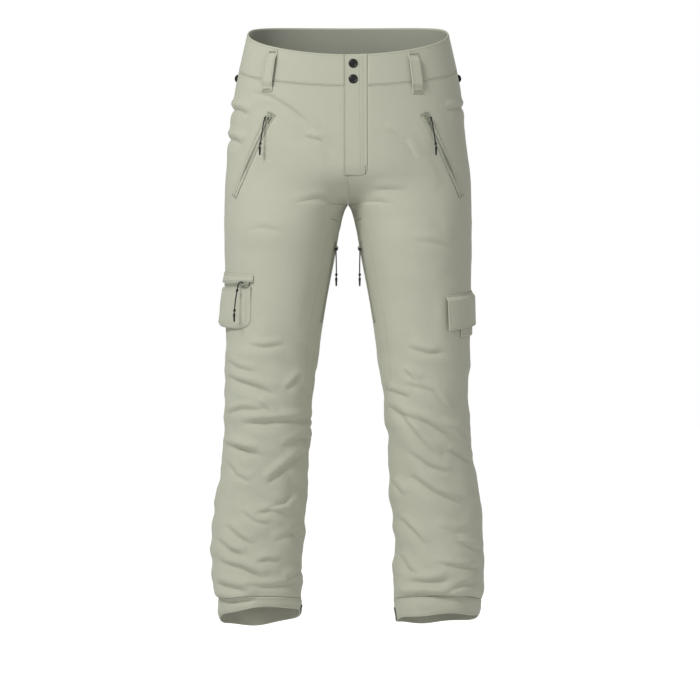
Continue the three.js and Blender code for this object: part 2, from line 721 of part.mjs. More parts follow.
// A round bore through the cloth where a snap is riveted.
function snapBore(z, radius) {
  const group = snapStand(z);
  const bore = new THREE.CylinderGeometry(radius, radius, 40, 12);
  bore.rotateX(Math.PI / 2);
  const made = placed(bore, group);
  pants.remove(group);
  return made;
}

function addSnaps() {
  const capTop = SNAP.rise;
  const socketFoot = -BAND - GAP - SOCKET_HEIGHT;
  const hollow = SNAP.ball + GAP + 0.1;
  const cap = [
    [0, -BAND],
    [hollow, -BAND - GAP],
    [hollow, socketFoot],
    [SNAP.socket, socketFoot],
    [SNAP.socket, -BAND - GAP],
    [SNAP.shank, -BAND - GAP],
    [SNAP.shank, GAP],
    [SNAP.cap, GAP],
    [SNAP.cap, GAP + capTop * 0.4],
    [SNAP.cap * 0.9, GAP + capTop * 0.75],
    [SNAP.cap * 0.55, GAP + capTop],
    [0, GAP + capTop],
  ];
  const face = -UNDERLAP.depth + GAP;
  const backFace = -UNDERLAP.depth - UNDERLAP.thick - GAP;
  const stud = [
    [0, backFace - 1.2],
    [5, backFace - 1.2],
    [5, backFace],
    [1.6, backFace],
    [1.6, face],
    [4, face],
    [4, face + 0.4],
    [SNAP.ball * 0.75, face + 0.4],
    [SNAP.ball, face + 1.3],
    [SNAP.ball * 0.8, face + 2.1],
    [0, face + 2.3],
  ];
  SNAP.heights.forEach((z, i) => {
    const place = ["upper", "lower"][i];
    add(`snap_cap_${place}`, turned(cap, 16), "snap", snapStand(z));
    add(`snap_stud_${place}`, turned(stud, 12), "snap", snapStand(z));
  });
}

function addFly() {
  add("fly_flap", flyFlap(), "shell");
  // A layer behind the front, through stops given as x, the depth of its face and the depth of its back.
  const behind = (stops, top, bottom, rows) => {
    const place = (u, v) => {
      const x = stops[Math.round(u * (stops.length - 1))][0];
      const z = lerp(top, bottom, v);
      const { point, normal } = onHips(hipAngle(x, z), z);
      return { point: point.setX(x), normal: normal.setX(0).normalize() };
    };
    const depth = (column) => (u) => -stops[Math.round(u * (stops.length - 1))][column];
    return layer(place, stops.length - 1, rows, depth(1), depth(2));
  };
  const bandBack = BAND + INNER_GAP;
  const underlapBack = UNDERLAP.depth + UNDERLAP.thick;
  const overlap = FLY.right - 2;
  const underlapStops = [
    [UNDERLAP.from, bandBack, underlapBack],
    [overlap, bandBack, underlapBack],
    [overlap + 1, UNDERLAP.depth, underlapBack],
    [SNAP.x, UNDERLAP.depth, underlapBack],
    [UNDERLAP.to, UNDERLAP.depth, underlapBack],
  ];
  let underlap = solid(behind(underlapStops, WAIST_TOP.front - 3, WAIST_SEAM.front + 2, 2));
  for (const z of SNAP.heights) underlap = underlap.subtract(snapBore(z, 1.6 + GAP));
  add("waistband_underlap", geometryOf(underlap), "shell");
  // The shield starts behind the right front panel, passes behind the zip and holds the tape's far edge.
  const tapeEdge = FLY_ZIP.x + ZIP.tape / 2 + GAP;
  const [panelBack, tapeFace] = [SHELL + INNER_GAP, FLY_ZIP.depth - ZIP.thick / 2];
  const shieldStops = [
    [SHIELD.from, panelBack],
    [SHIELD.bend[0], panelBack],
    [SHIELD.bend[1], SHIELD.depth],
    [tapeEdge, SHIELD.depth],
    [tapeEdge + GAP, tapeFace],
    [SHIELD.to, tapeFace],
  ].map(([x, face]) => [x, face, face + SHIELD.thick]);
  shieldStops[4][2] = SHIELD.depth + SHIELD.thick;
  add("fly_shield", behind(shieldStops, SHIELD.top, SHIELD.bottom, 8), "lining");
  const path = flyZipPath();
  add("fly_zip", zipTrack(path, FLY_ZIP.travel), "zip");
  addSlider("fly_slider", path);
  const { point, down, out } = path(0);
  const hinge = point.clone().addScaledVector(out, pullAxis);
  add("fly_pull", flyPull(), "slider", stand(hinge, down.clone().negate(), out));
}

// ---------- loops ----------

// How many degrees round the waist seam a length covers at an angle.
function arcDegrees(length, angle) {
  const z = level(WAIST_SEAM, hipFacing(angle));
  return length / skinPoint(...hipTurn(angle + 1), z).distanceTo(skinPoint(...hipTurn(angle), z));
}

function beltLoop(angle) {
  const halfTurn = arcDegrees(LOOP.width / 2, angle);
  const facing = hipFacing(angle);
  const [top, bottom] = [level(WAIST_TOP, facing) - LOOP.top, level(WAIST_SEAM, facing) - LOOP.below];
  const place = (u, v) => onHips(angle + lerp(-halfTurn, halfTurn, u), lerp(top, bottom, v));
  const lift = (v) => GAP + LOOP.stand * clamp((0.5 - Math.abs(v - 0.5)) / 0.16 - 0.5, 0, 1);
  return layer(place, 2, 16, (u, v) => lift(v) + LOOP.thick, (u, v) => lift(v));
}

function addLoops() {
  for (const [place, angle] of Object.entries(LOOP_ANGLES)) add(`belt_loop_${place}`, beltLoop(angle), "shell");
  for (const [name, side] of SIDES) {
    const { z, width, height, rise } = SIDE_LOOP;
    const halfTurn = arcDegrees(width / 2, 90);
    const place = (u, v) => onHips(side * lerp(90 - halfTurn, 90 + halfTurn, u), z + height * (0.5 - v));
    add(`side_loop_${name}`, layer(place, 2, 2, GAP + rise, GAP), "webbing");
  }
}

// ---------- pockets and vents ----------

// Rises from 0 at a patch's edges to 1 inside it.
const inside = (u, v) => clamp(Math.min(u, 1 - u, v, 1 - v) * 9, 0, 1);

function addHandPockets() {
  for (const [name, side] of SIDES) {
    const path = handZipPath(side);
    add(`hand_zip_${name}`, zipTrack(path, HAND_ZIP.travel), "zip");
    const place = (u, v) => {
      const z = lerp(HAND_BAG.top, HAND_BAG.bottom, v);
      const angle = (handZipTurn(clamp(z, HAND_ZIP.bottom[1], HAND_ZIP.top[1])) + 1) * 90;
      return skin(side, (angle + lerp(-HAND_BAG.ahead, HAND_BAG.behind, u)) / 90 - 1, z);
    };
    const depth = (u, v) => lerp(SHELL + HAND_BAG.edge, HAND_BAG.depth, inside(u, v));
    const over = (u, v) => -depth(u, v);
    const under = (u, v) => -depth(u, v) - HAND_BAG.thick;
    add(`hand_pocket_bag_${name}`, layer(place, 9, 9, over, under), "lining");
    addSlider(`hand_slider_${name}`, path);
    addCordPull("hand", path, HAND_ROUTE, path(0).across.multiplyScalar(side), `_${name}`);
  }
}

function addVents() {
  for (const [name, side] of SIDES) {
    const path = ventZipPath(side);
    add(`vent_zip_${name}`, zipTrack(path, VENT_ZIP.travel), "zip");
    const { halfTurn, margin, thick } = VENT_MESH;
    const top = VENT_ZIP.top + margin;
    const bottom = VENT_ZIP.top - VENT_ZIP.travel - margin;
    const edge = 180 - 1;
    const place = (u, v) => onLeg(side)(lerp(VENT_ZIP.turn - halfTurn, edge, u), lerp(top, bottom, v));
    const depth = (u, v) => lerp(SHELL + INNER_GAP, VENT_MESH.depth, inside(u, v));
    add(`vent_mesh_${name}`, layer(place, 4, 9, (u, v) => -depth(u, v), (u, v) => -depth(u, v) - thick), "lining");
    addSlider(`vent_slider_${name}`, path);
    addCordPull("vent", path, VENT_ROUTE, path(0).across.multiplyScalar(side), `_${name}`);
  }
}

// A patch on one leg between two angles. Its top and bottom are given at its back and at its front.
function onPatch(side, { front, back, top, bottom }) {
  return (u, v) => onLeg(side)(lerp(back, front, u), lerp(lerp(...top, u), lerp(...bottom, u), v));
}

function addCargoPockets() {
  const clearHalf = Math.max(ZIP.tape, SLIDER.width) / 2 + GAP;
  const tapeTop = CARGO_ZIP.z + clearHalf;
  const tapeFoot = CARGO_ZIP.z - clearHalf;
  const welt = onPatch(-1, { ...WELT, bottom: [tapeTop, tapeTop] });
  add("cargo_welt", layer(welt, 10, 2, WELT.rise, PATCH_GAP), "shell");
  const path = cargoZipPath();
  add("cargo_zip", zipTrack(path, CARGO_ZIP.travel), "zip");
  const swell = (u, v) => lerp(POUCH.topRise, POUCH.bottomRise, v * (1.6 - 0.6 * v));
  const pouch = onPatch(-1, { ...POUCH, top: [tapeFoot, tapeFoot] });
  add("cargo_pouch_right", layer(pouch, 10, 6, swell, PATCH_GAP), "shell");
  addSlider("cargo_slider", path);
  addCordPull("cargo", path, CARGO_ROUTE, path(0).down);
  add("cargo_pouch_left", flapPouch(), "shell");
  const lift = (u, v) => (v < 0.1 ? PATCH_GAP : lerp(FLAP_RISE.step, FLAP_RISE.bottom, v));
  const flap = layer(onPatch(1, FLAP), 10, 5, (u, v) => lift(u, v) + FLAP.thick, lift);
  add("cargo_flap", flap, "shell");
}

// A flat patch pouch, open at its top under the flap.
function flapPouch() {
  const { front, back, top, bottom, wall, rise } = FLAP_POUCH;
  const place = onPatch(1, FLAP_POUCH);
  const outer = solid(layer(place, 6, 4, rise, PATCH_GAP));
  const radius = reading(LEG, 2, top[0]);
  const edge = wall / (radius * rad(front - back));
  const foot = 1 - wall / (top[0] - bottom[0]);
  const hollow = (u, v) => place(lerp(edge, 1 - edge, u), lerp(-0.1, foot, v));
  return geometryOf(outer.subtract(solid(layer(hollow, 6, 4, rise - wall, PATCH_GAP + wall))));
}

addPanels();
addWaistband();
addHems();
addFly();
addSnaps();
addLoops();
addHandPockets();
addVents();
addCargoPockets();

export default pants;
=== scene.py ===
"""Insulated ski pants: the cloth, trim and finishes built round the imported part, in metres.

The cloth lies on one worn form, which carries the folds; zips and cord pulls follow the part's joints.
"""

from __future__ import annotations

import json
import logging
import math
from dataclasses import dataclass, field
from enum import Enum
from typing import Callable, Sequence

import bpy
import numpy as np
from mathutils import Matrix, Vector

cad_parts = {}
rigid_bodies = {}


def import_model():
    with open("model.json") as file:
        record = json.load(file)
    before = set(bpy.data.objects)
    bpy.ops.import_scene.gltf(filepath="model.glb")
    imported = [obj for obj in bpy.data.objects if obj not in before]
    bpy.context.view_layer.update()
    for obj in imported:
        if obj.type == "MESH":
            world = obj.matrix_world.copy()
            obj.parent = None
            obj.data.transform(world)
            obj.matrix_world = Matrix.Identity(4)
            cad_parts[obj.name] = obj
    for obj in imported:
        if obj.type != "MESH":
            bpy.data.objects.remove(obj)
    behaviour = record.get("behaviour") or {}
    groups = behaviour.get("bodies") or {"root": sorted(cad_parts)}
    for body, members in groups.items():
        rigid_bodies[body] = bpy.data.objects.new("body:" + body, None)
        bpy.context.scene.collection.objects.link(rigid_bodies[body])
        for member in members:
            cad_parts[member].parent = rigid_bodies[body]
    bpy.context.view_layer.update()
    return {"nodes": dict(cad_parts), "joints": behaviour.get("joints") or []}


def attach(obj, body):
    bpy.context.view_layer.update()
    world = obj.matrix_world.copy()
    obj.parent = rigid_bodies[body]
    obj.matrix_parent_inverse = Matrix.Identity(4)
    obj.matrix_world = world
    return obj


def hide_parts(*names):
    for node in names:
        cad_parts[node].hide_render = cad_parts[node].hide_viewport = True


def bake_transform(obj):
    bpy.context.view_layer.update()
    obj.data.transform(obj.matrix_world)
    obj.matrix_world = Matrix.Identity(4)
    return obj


for leftover in list(bpy.data.objects):
    bpy.data.objects.remove(leftover)
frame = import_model()

log = logging.getLogger("ski_pants")
Array = np.ndarray
Place = Callable[[Array, Array], "tuple[Array, Array]"]
Height = "float | Callable[[Array, Array], Array]"
MM = 0.001
SIDES = (("left", 1), ("right", -1))


# ---------------------------------------------------------------- small helpers


def lerp(a: Array, b: Array, t: Array) -> Array:
    """The value a share t of the way from a to b."""
    return a + (b - a) * t


def smoothstep(x: Array, low: float, high: float) -> Array:
    """A smooth rise from 0 at low to 1 at high."""
    t = np.clip((x - low) / (high - low), 0, 1)
    return t * t * (3 - 2 * t)


def unit(v: Array) -> Array:
    """Vectors of length one."""
    return v / np.maximum(np.linalg.norm(v, axis=-1, keepdims=True), 1e-12)


def reading(table: Array, column: int, z: Array) -> Array:
    """Reads one column of a table of heights smoothly, with no overshoot between its rows.

    Args:
        table: Rows from the highest to the lowest, each with its height first.
        column: The column to read.
        z: Heights to read it at.
    Returns:
        The column's value at each height.
    """
    rows = table[::-1]
    h, y = rows[:, 0], rows[:, column]
    slope = np.diff(y) / np.diff(h)
    product = slope[:-1] * slope[1:]
    total = slope[:-1] + slope[1:]
    inner = np.where(product > 0, 2 * product / np.where(total == 0, 1, total), 0)
    tangent = np.concatenate([slope[:1], inner, slope[-1:]])
    z = np.clip(z, h[0], h[-1])
    k = np.clip(np.searchsorted(h, z, side="right") - 1, 0, len(h) - 2)
    step = h[k + 1] - h[k]
    u = (z - h[k]) / step
    return (
        (2 * u**3 - 3 * u**2 + 1) * y[k]
        + (u**3 - 2 * u**2 + u) * step * tangent[k]
        + (3 * u**2 - 2 * u**3) * y[k + 1]
        + (u**3 - u**2) * step * tangent[k + 1]
    )


def lattice_noise(points: Array, seed: int) -> Array:
    """Smooth noise from -1 to 1 that is the same on every run.

    Args:
        points: Places, in steps of the lattice.
        seed: Picks one pattern.
    Returns:
        One value for each point.
    """
    cell = np.floor(points).astype(np.int64)
    f = points - cell
    f = f * f * (3 - 2 * f)

    def corner(dx: int, dy: int, dz: int) -> Array:
        """The lattice's value at one corner of each cell."""
        n = (cell[..., 0] + dx) * 73856093 ^ (cell[..., 1] + dy) * 19349663
        n = (n ^ (cell[..., 2] + dz) * 83492791 ^ seed * 2654435761) & 0xFFFFFFFF
        n = ((n ^ (n >> 15)) * 2246822519) & 0xFFFFFFFF
        n = ((n ^ (n >> 13)) * 3266489917) & 0xFFFFFFFF
        return ((n ^ (n >> 16)) & 0xFFFF) / 32767.5 - 1

    edges = [
        lerp(corner(0, dy, dz), corner(1, dy, dz), f[..., 0])
        for dz in (0, 1)
        for dy in (0, 1)
    ]
    low, high = lerp(edges[0], edges[1], f[..., 1]), lerp(edges[2], edges[3], f[..., 1])
    return lerp(low, high, f[..., 2])


@dataclass(frozen=True)
class Level:
    """A level round the body that differs at the front, the sides and the back."""

    front: float
    side: float
    back: float

    def at(self, facing: Array) -> Array:
        """The height where facing is 1 at the front and -1 at the back."""
        bend = (self.front + self.back) / 2 - self.side
        return self.side + (self.front - self.back) / 2 * facing + bend * facing**2

    def shifted(self, by: float) -> "Level":
        """The same level, higher by a distance."""
        return Level(self.front + by, self.side + by, self.back + by)


# ---------------------------------------------------------------- the worn form

TORSO = MM * np.array(
    [
        [40, 171, 106, 104],
        [9, 178, 108, 108],
        [-44, 190, 112, 120],
        [-79, 197, 114.5, 130],
        [-114, 201, 117, 141],
        [-184, 209, 122, 155],
        [-280, 216, 123, 148],
    ]
)
LEG = MM * np.array(
    [
        [-280, 108.2, 107.8, 8, 130],
        [-289, 111, 105, 8, 129],
        [-315, 114.8, 101.8, 7, 125],
        [-367, 118.5, 96.5, 4, 116],
        [-446, 126, 89, -2, 104],
        [-525, 131, 82, -8, 95],
        [-604, 135.8, 77.8, -12, 90],
        [-709, 143.5, 74.5, -6, 88],
        [-814, 154, 79, 2, 88],
        [-919, 159.8, 79.2, 6, 90],
        [-948, 159.5, 79, 6, 90],
        [-972, 154.5, 74.5, 6, 86],
        [-1016, 154, 69, 6, 83],
    ]
)
WAIST_TOP = Level(-0.021, 0.021, 0.034)
WAIST_SEAM = Level(-0.076, -0.045, -0.036)
HEM_SEAM = Level(-0.962, -0.970, -0.978)
HEM_EDGE = Level(-0.988, -1.000, -1.012)


@dataclass(frozen=True)
class WornForm:
    """The outside of the cloth as worn, without its folds.

    A place on it is a side (1 or -1), s from -1 at the centre front or inseam over 0 at the side seam to 1 at
    the centre back, and a height.
    """

    crotch: float = -0.280
    sweep_front: float = 0.070
    sweep_back: float = 0.095
    thigh_above: float = 0.080
    thigh_below: float = 0.070
    thigh_reach: float = 0.5
    hip_corner: float = 0.04
    leg_corner: float = 0.02

    def leg_share(self, s: Array, z: Array) -> Array:
        """Share of leg in the section: 0 at the hips and 1 below the crotch."""
        sweep = lerp(self.sweep_front, self.sweep_back, (s + 1) / 2)
        q = np.clip((self.crotch + sweep - z) / sweep, 0, 1)
        at_seam = 1 - np.sqrt(np.maximum(1 - q * q, 0))
        away = smoothstep(self.crotch - z, -self.thigh_above, self.thigh_below)
        return lerp(at_seam, away, smoothstep(1 - np.abs(s), 0, self.thigh_reach))

    def point(self, side: Array, s: Array, z: Array) -> Array:
        """Points of the form in the part's frame."""
        side, s, z = np.broadcast_arrays(side, s, z)
        back = np.sign(s)
        turn = np.abs(s) * np.pi / 2
        fuller = 1 + self.hip_corner * np.sin(2 * turn) ** 2
        depth = np.where(s < 0, reading(TORSO, 2, z), reading(TORSO, 3, z))
        hip_x = reading(TORSO, 1, z) * np.cos(turn) * fuller
        hip_y = depth * np.sin(turn) * fuller * back
        fuller = 1 + self.leg_corner * np.sin(4 * turn) ** 2
        leg_x = reading(LEG, 1, z) + reading(LEG, 2, z) * np.cos(2 * turn) * fuller
        leg_y = reading(LEG, 3, z) + reading(LEG, 4, z) * np.sin(2 * turn) * fuller * back
        share = self.leg_share(s, z)
        return np.stack([side * lerp(hip_x, leg_x, share), lerp(hip_y, leg_y, share), z], -1)

    def skin(self, side: Array, s: Array, z: Array) -> tuple[Array, Array]:
        """Points of the form and its outward normals."""
        side, s, z = np.broadcast_arrays(np.asarray(side, float), s, z)
        ds, dz = 0.004, 0.0005
        along = self.point(side, np.minimum(s + ds, 1), z) - self.point(side, np.maximum(s - ds, -1), z)
        down = self.point(side, s, z - dz) - self.point(side, s, z + dz)
        normals = unit(np.cross(down, along)) * side[..., None]
        return self.point(side, s, z), normals

    def turn_at(
        self, side: float, z: Array, target: Array, way: Array, low: float = -1, high: float = 0
    ) -> Array:
        """Finds s where the form reaches a target, measured along a level direction.

        Args:
            side: 1 or -1.
            z: Heights.
            target: Level points (x, y) to reach, one for each height.
            way: The level direction (x, y) to measure along.
            low: Least s to look at.
            high: Greatest s to look at.
        Returns:
            One s for each height.
        """
        a, b = np.full(z.shape, float(low)), np.full(z.shape, float(high))

        def past(s: Array) -> Array:
            """How far the form is past the target."""
            return ((self.point(side, s, z)[..., :2] - target) * way).sum(-1)

        rising = past(b) > past(a)
        for _ in range(26):
            middle = (a + b) / 2
            short = (past(middle) < 0) == rising
            a, b = np.where(short, middle, a), np.where(short, b, middle)
        return (a + b) / 2

    def turn_at_x(self, x: Array, z: Array) -> Array:
        """s on the front of the form where it is |x| to the side of the centre."""
        x, z = np.broadcast_arrays(np.abs(np.asarray(x, float)), z)
        target = np.stack([x, np.zeros_like(x)], -1)
        return self.turn_at(1, np.asarray(z, float), target, np.array([1.0, 0.0]))


def hip_turn(angle: Array) -> tuple[Array, Array]:
    """Side and s round the hips by angle: 0 at the centre front and 90 at the wearer's left."""
    a = np.mod(angle, 360)
    return np.where(a <= 180, 1.0, -1.0), np.where(a <= 180, a / 90 - 1, 3 - a / 90)


def leg_turn(angle: Array) -> Array:
    """s round one leg by angle: 0 at its outer side, 90 at the front and 180 at the inseam."""
    a = np.mod(angle, 360)
    return np.where(a <= 180, -a / 180, (360 - a) / 180)


# ---------------------------------------------------------------- folds


@dataclass(frozen=True)
class Fold:
    """A crease with the cloth swelling on both sides of it.

    The line is (x, z) in millimetres, from the wearer's right to left; depth and width are in millimetres.
    """

    line: tuple[tuple[float, float], ...]
    depth: float = 1.7
    width: float = 6.5

    def height(self, x: Array, z: Array) -> Array:
        """The fold's height over the cloth at level and height x, z in millimetres."""
        points = np.array(self.line, float)
        reach = 5 * self.width
        near = (
            (x > points[:, 0].min() - reach)
            & (x < points[:, 0].max() + reach)
            & (z > points[:, 1].min() - reach)
            & (z < points[:, 1].max() + reach)
        )
        made = np.zeros(x.shape)
        if not near.any():
            return made
        px, pz = x[near], z[near]
        best, signed, along = np.full(px.shape, 1e9), np.zeros(px.shape), np.zeros(px.shape)
        steps = np.diff(points, axis=0)
        lengths = np.linalg.norm(steps, axis=1)
        begun = np.concatenate([[0], np.cumsum(lengths)])
        for a, step, length, start in zip(points, steps, lengths, begun):
            t = np.clip(((px - a[0]) * step[0] + (pz - a[1]) * step[1]) / length**2, 0, 1)
            dx, dz = px - a[0] - t * step[0], pz - a[1] - t * step[1]
            off = np.hypot(dx, dz)
            closer = off < best
            turn = np.sign(step[0] * dz - step[1] * dx)
            best = np.where(closer, off, best)
            signed = np.where(closer, off * turn, signed)
            along = np.where(closer, (start + t * length) / begun[-1], along)
        w = self.width
        crease = -np.exp(-np.abs(signed / (0.42 * w)) ** 1.4)
        above = 0.95 * np.exp(-(((signed - 1.25 * w) / (0.9 * w)) ** 2))
        below = 0.5 * np.exp(-(((signed + 1.9 * w) / (1.4 * w)) ** 2))
        fade = np.clip(4.6 * along * (1 - along), 0, 1) ** 0.7
        made[near] = self.depth * fade * (crease + above + below)
        return made


def strong(*line: tuple[float, float]) -> Fold:
    """A deep fold along a line."""
    return Fold(line, 5.0, 9.0)


def plain(*line: tuple[float, float]) -> Fold:
    """A fold of middling depth along a line."""
    return Fold(line, 3.2, 7.0)


def faint(*line: tuple[float, float]) -> Fold:
    """A shallow, soft fold along a line."""
    return Fold(line, 1.7, 8)


FRONT_FOLDS = (
    strong((-222, -108), (-190, -117), (-172, -126)),
    strong((-228, -160), (-200, -168), (-182, -178)),
    plain((172, -116), (192, -112), (222, -104)),
    plain((-173, -86), (-157, -88), (-133, -95), (-100, -116), (-74, -137), (-56, -156)),
    plain((-77, -165), (-47, -172), (-32, -186), (-23, -198)),
    faint((-95, -280), (-54, -271), (-14, -271)),
    faint((4, -257), (50, -256), (101, -257)),
    faint((9, -275), (56, -277), (89, -285)),
    faint((60, -150), (100, -172), (120, -205)),
    faint((-196, -330), (-150, -322), (-110, -330)),
    faint((110, -345), (160, -350), (200, -362)),
    strong((-210, -581), (-166, -597), (-126, -612)),
    plain((-212, -552), (-190, -566), (-160, -574)),
    plain((-108, -605), (-92, -590), (-78, -578)),
    plain((-210, -647), (-184, -637), (-143, -639)),
    plain((-159, -621), (-131, -647)),
    strong((-187, -663), (-124, -658), (-58, -655)),
    plain((-84, -682), (-58, -663)),
    plain((-114, -702), (-87, -688), (-66, -686)),
    strong((-140, -768), (-103, -735), (-66, -705)),
    plain((-212, -731), (-196, -752), (-170, -765)),
    plain((-187, -815), (-161, -833), (-135, -838)),
    plain((-161, -819), (-135, -815), (-110, -817)),
    plain((-213, -838), (-191, -859), (-165, -875)),
    strong((-228, -864), (-205, -884), (-180, -893)),
    strong((-227, -903), (-187, -913), (-143, -934)),
    plain((-161, -905), (-140, -900), (-118, -903)),
    strong((-233, -941), (-203, -948), (-173, -955)),
    plain((-180, -943), (-140, -947), (-103, -943), (-77, -934)),
    plain((-110, -934), (-77, -919)),
    faint((-130, -868), (-100, -856), (-80, -846)),
    faint((-200, -705), (-165, -712), (-140, -722)),
    strong((66, -628), (96, -654), (129, -695), (156, -721)),
    strong((84, -642), (133, -661), (173, -682), (199, -705)),
    plain((66, -604), (107, -618)),
    plain((93, -569), (121, -591)),
    plain((98, -593), (149, -607), (178, -640)),
    plain((103, -710), (140, -737), (178, -749)),
    plain((171, -709), (192, -716), (215, -728)),
    faint((159, -665), (213, -682)),
    strong((103, -752), (149, -782), (203, -803)),
    plain((75, -761), (96, -789)),
    plain((87, -826), (112, -850), (136, -875)),
    plain((87, -889), (103, -915), (122, -926)),
    strong((107, -938), (140, -939), (173, -936)),
    plain((166, -957), (199, -943), (225, -940)),
    plain((190, -868), (215, -880), (238, -884)),
    faint((150, -840), (185, -852), (215, -850)),
    faint((185, -511), (206, -549)),
    strong((-236, -968), (-200, -972), (-160, -968)),
    strong((88, -965), (130, -960), (180, -966), (225, -964)),
    strong((-216, -700), (-190, -706), (-160, -716)),
    plain((150, -905), (190, -912), (232, -915)),
    plain((-90, -780), (-110, -800), (-140, -808)),
    plain((-190, -520), (-150, -530), (-110, -526)),
    plain((100, -530), (140, -540), (190, -536)),
)
BACK_FOLDS = (
    plain((-120, -225), (-70, -248), (-20, -262)),
    plain((20, -262), (70, -248), (120, -225)),
    faint((-150, -265), (-95, -292), (-40, -302)),
    faint((40, -302), (95, -292), (150, -265)),
    faint((-100, -120), (-60, -150), (-30, -190)),
    faint((30, -190), (60, -150), (100, -120)),
    strong((-195, -545), (-140, -556), (-85, -546)),
    strong((-200, -588), (-150, -578), (-90, -590)),
    strong((-195, -628), (-140, -640), (-88, -625)),
    plain((-205, -674), (-150, -668), (-95, -690)),
    plain((-195, -735), (-150, -752), (-100, -748)),
    strong((-215, -830), (-160, -812), (-105, -826)),
    strong((-222, -882), (-165, -896), (-100, -880)),
    strong((-225, -932), (-160, -922), (-95, -936)),
    plain((-200, -960), (-150, -954), (-110, -962)),
    strong((85, -552), (140, -560), (195, -540)),
    strong((92, -598), (150, -586), (200, -592)),
    strong((88, -634), (142, -648), (198, -630)),
    plain((95, -682), (150, -674), (205, -694)),
    plain((105, -762), (155, -748), (200, -742)),
    strong((105, -836), (160, -820), (215, -840)),
    strong((100, -874), (165, -888), (222, -878)),
    strong((95, -928), (160, -938), (225, -924)),
    plain((110, -958), (150, -964), (200, -956)),
)
# Places that stay smooth, where trim is fitted: two ends (x, z) and the reach round them, in millimetres.
STILL_FRONT = (
    ((9, 0), (9, -236), 44),
    ((137, -125), (207, -292), 22),
    ((-137, -125), (-207, -292), 22),
    ((22, -345), (64, -500), 22),
    ((-22, -345), (-64, -500), 22),
    ((-190, -400), (-190, -495), 34),
    ((190, -425), (190, -515), 34),
    ((180, -262), (196, -325), 26),
    ((-180, -262), (-196, -325), 26),
)


@dataclass(frozen=True)
class Drape:
    """The height that folds, sag and small wrinkles add to the worn form."""

    form: WornForm = field(default_factory=WornForm)
    sag: float = 0.0042
    wrinkle: float = 0.0012

    def height(self, points: Array, normals: Array) -> Array:
        """Height over the form at its points.

        Args:
            points: Points of the form.
            normals: The form's normals there.
        Returns:
            One height for each point, in metres.
        """
        x, z = points[..., 0] / MM, points[..., 2] / MM
        facing = -normals[..., 1]
        front = smoothstep(facing, -0.45, 0.15)
        back = smoothstep(-facing, -0.45, 0.15)
        made = sum(fold.height(x, z) for fold in FRONT_FOLDS) * front
        made = made + sum(fold.height(x, z) for fold in BACK_FOLDS) * back
        made *= MM
        loose = smoothstep(-z, 430, 640)
        middling = smoothstep(-z, 90, 300)
        slow = lattice_noise(points * np.array([11.0, 9.0, 13.0]), 3)
        slanted = points @ np.array([[1, 0, 0.5], [0, 1, 0.2], [-0.4, 0, 1]])
        quick = lattice_noise(slanted * np.array([24.0, 20.0, 46.0]), 7)
        fine = lattice_noise(slanted * np.array([70.0, 60.0, 120.0]), 12)
        made += self.sag * slow * (0.22 + 0.3 * middling + 0.48 * loose)
        made += self.wrinkle * quick * (0.25 + 0.35 * middling + 1.5 * loose)
        made += 0.00022 * fine * (0.3 + loose)
        made = np.clip(made, -0.0095, 0.0098)
        return made * self.freedom(x, z, facing)

    def freedom(self, x: Array, z: Array, facing: Array) -> Array:
        """0 where trim keeps the cloth smooth, and 1 away from it."""
        free = np.ones(x.shape)
        for a, b, reach in STILL_FRONT:
            step = np.array(b, float) - a
            t = np.clip(((x - a[0]) * step[0] + (z - a[1]) * step[1]) / (step @ step), 0, 1)
            off = np.hypot(x - a[0] - t * step[0], z - a[1] - t * step[1])
            hold = 1 - smoothstep(off, reach * 0.72, reach * 1.35)
            free = np.minimum(free, 1 - hold * smoothstep(facing, -0.7, -0.35))
        tight = smoothstep(-z, 40, 110)
        return free * (0.15 + 0.85 * tight)

    def skin(self, side: Array, s: Array, z: Array) -> tuple[Array, Array]:
        """Points of the draped cloth's outside, and the form's normals."""
        points, normals = self.form.skin(side, s, z)
        return points + normals * self.height(points, normals)[..., None], normals

    def on_hips(self, angle: Array, z: Array) -> tuple[Array, Array]:
        """The draped outside round the hips by angle."""
        side, s = hip_turn(angle)
        return self.skin(side, s, z)

    def on_leg(self, side: int, angle: Array, z: Array) -> tuple[Array, Array]:
        """The draped outside round one leg by angle."""
        return self.skin(side, leg_turn(angle), z)

    def on_front(self, x: Array, z: Array) -> tuple[Array, Array]:
        """The draped outside of the front at x to the side of the centre."""
        x, z = np.broadcast_arrays(np.asarray(x, float), np.asarray(z, float))
        s = self.form.turn_at_x(x, z)
        return self.skin(np.where(x < 0, -1.0, 1.0), s, z)


DRAPE = Drape()
FORM = DRAPE.form


# ---------------------------------------------------------------- finishes


class Slot(Enum):
    """The record's material slots."""

    SHELL = "shell_fabric"
    LINING = "lining_fabric"
    TAPE = "zip_tape"
    ZIP_METAL = "zip_metal"
    SNAP_METAL = "snap_metal"
    CORD = "cord"
    RUBBER = "rubber"
    WEBBING = "webbing"


class Pattern(Enum):
    """What a pattern's coordinates follow."""

    CLOTH = "cloth"
    PIECE = "piece"


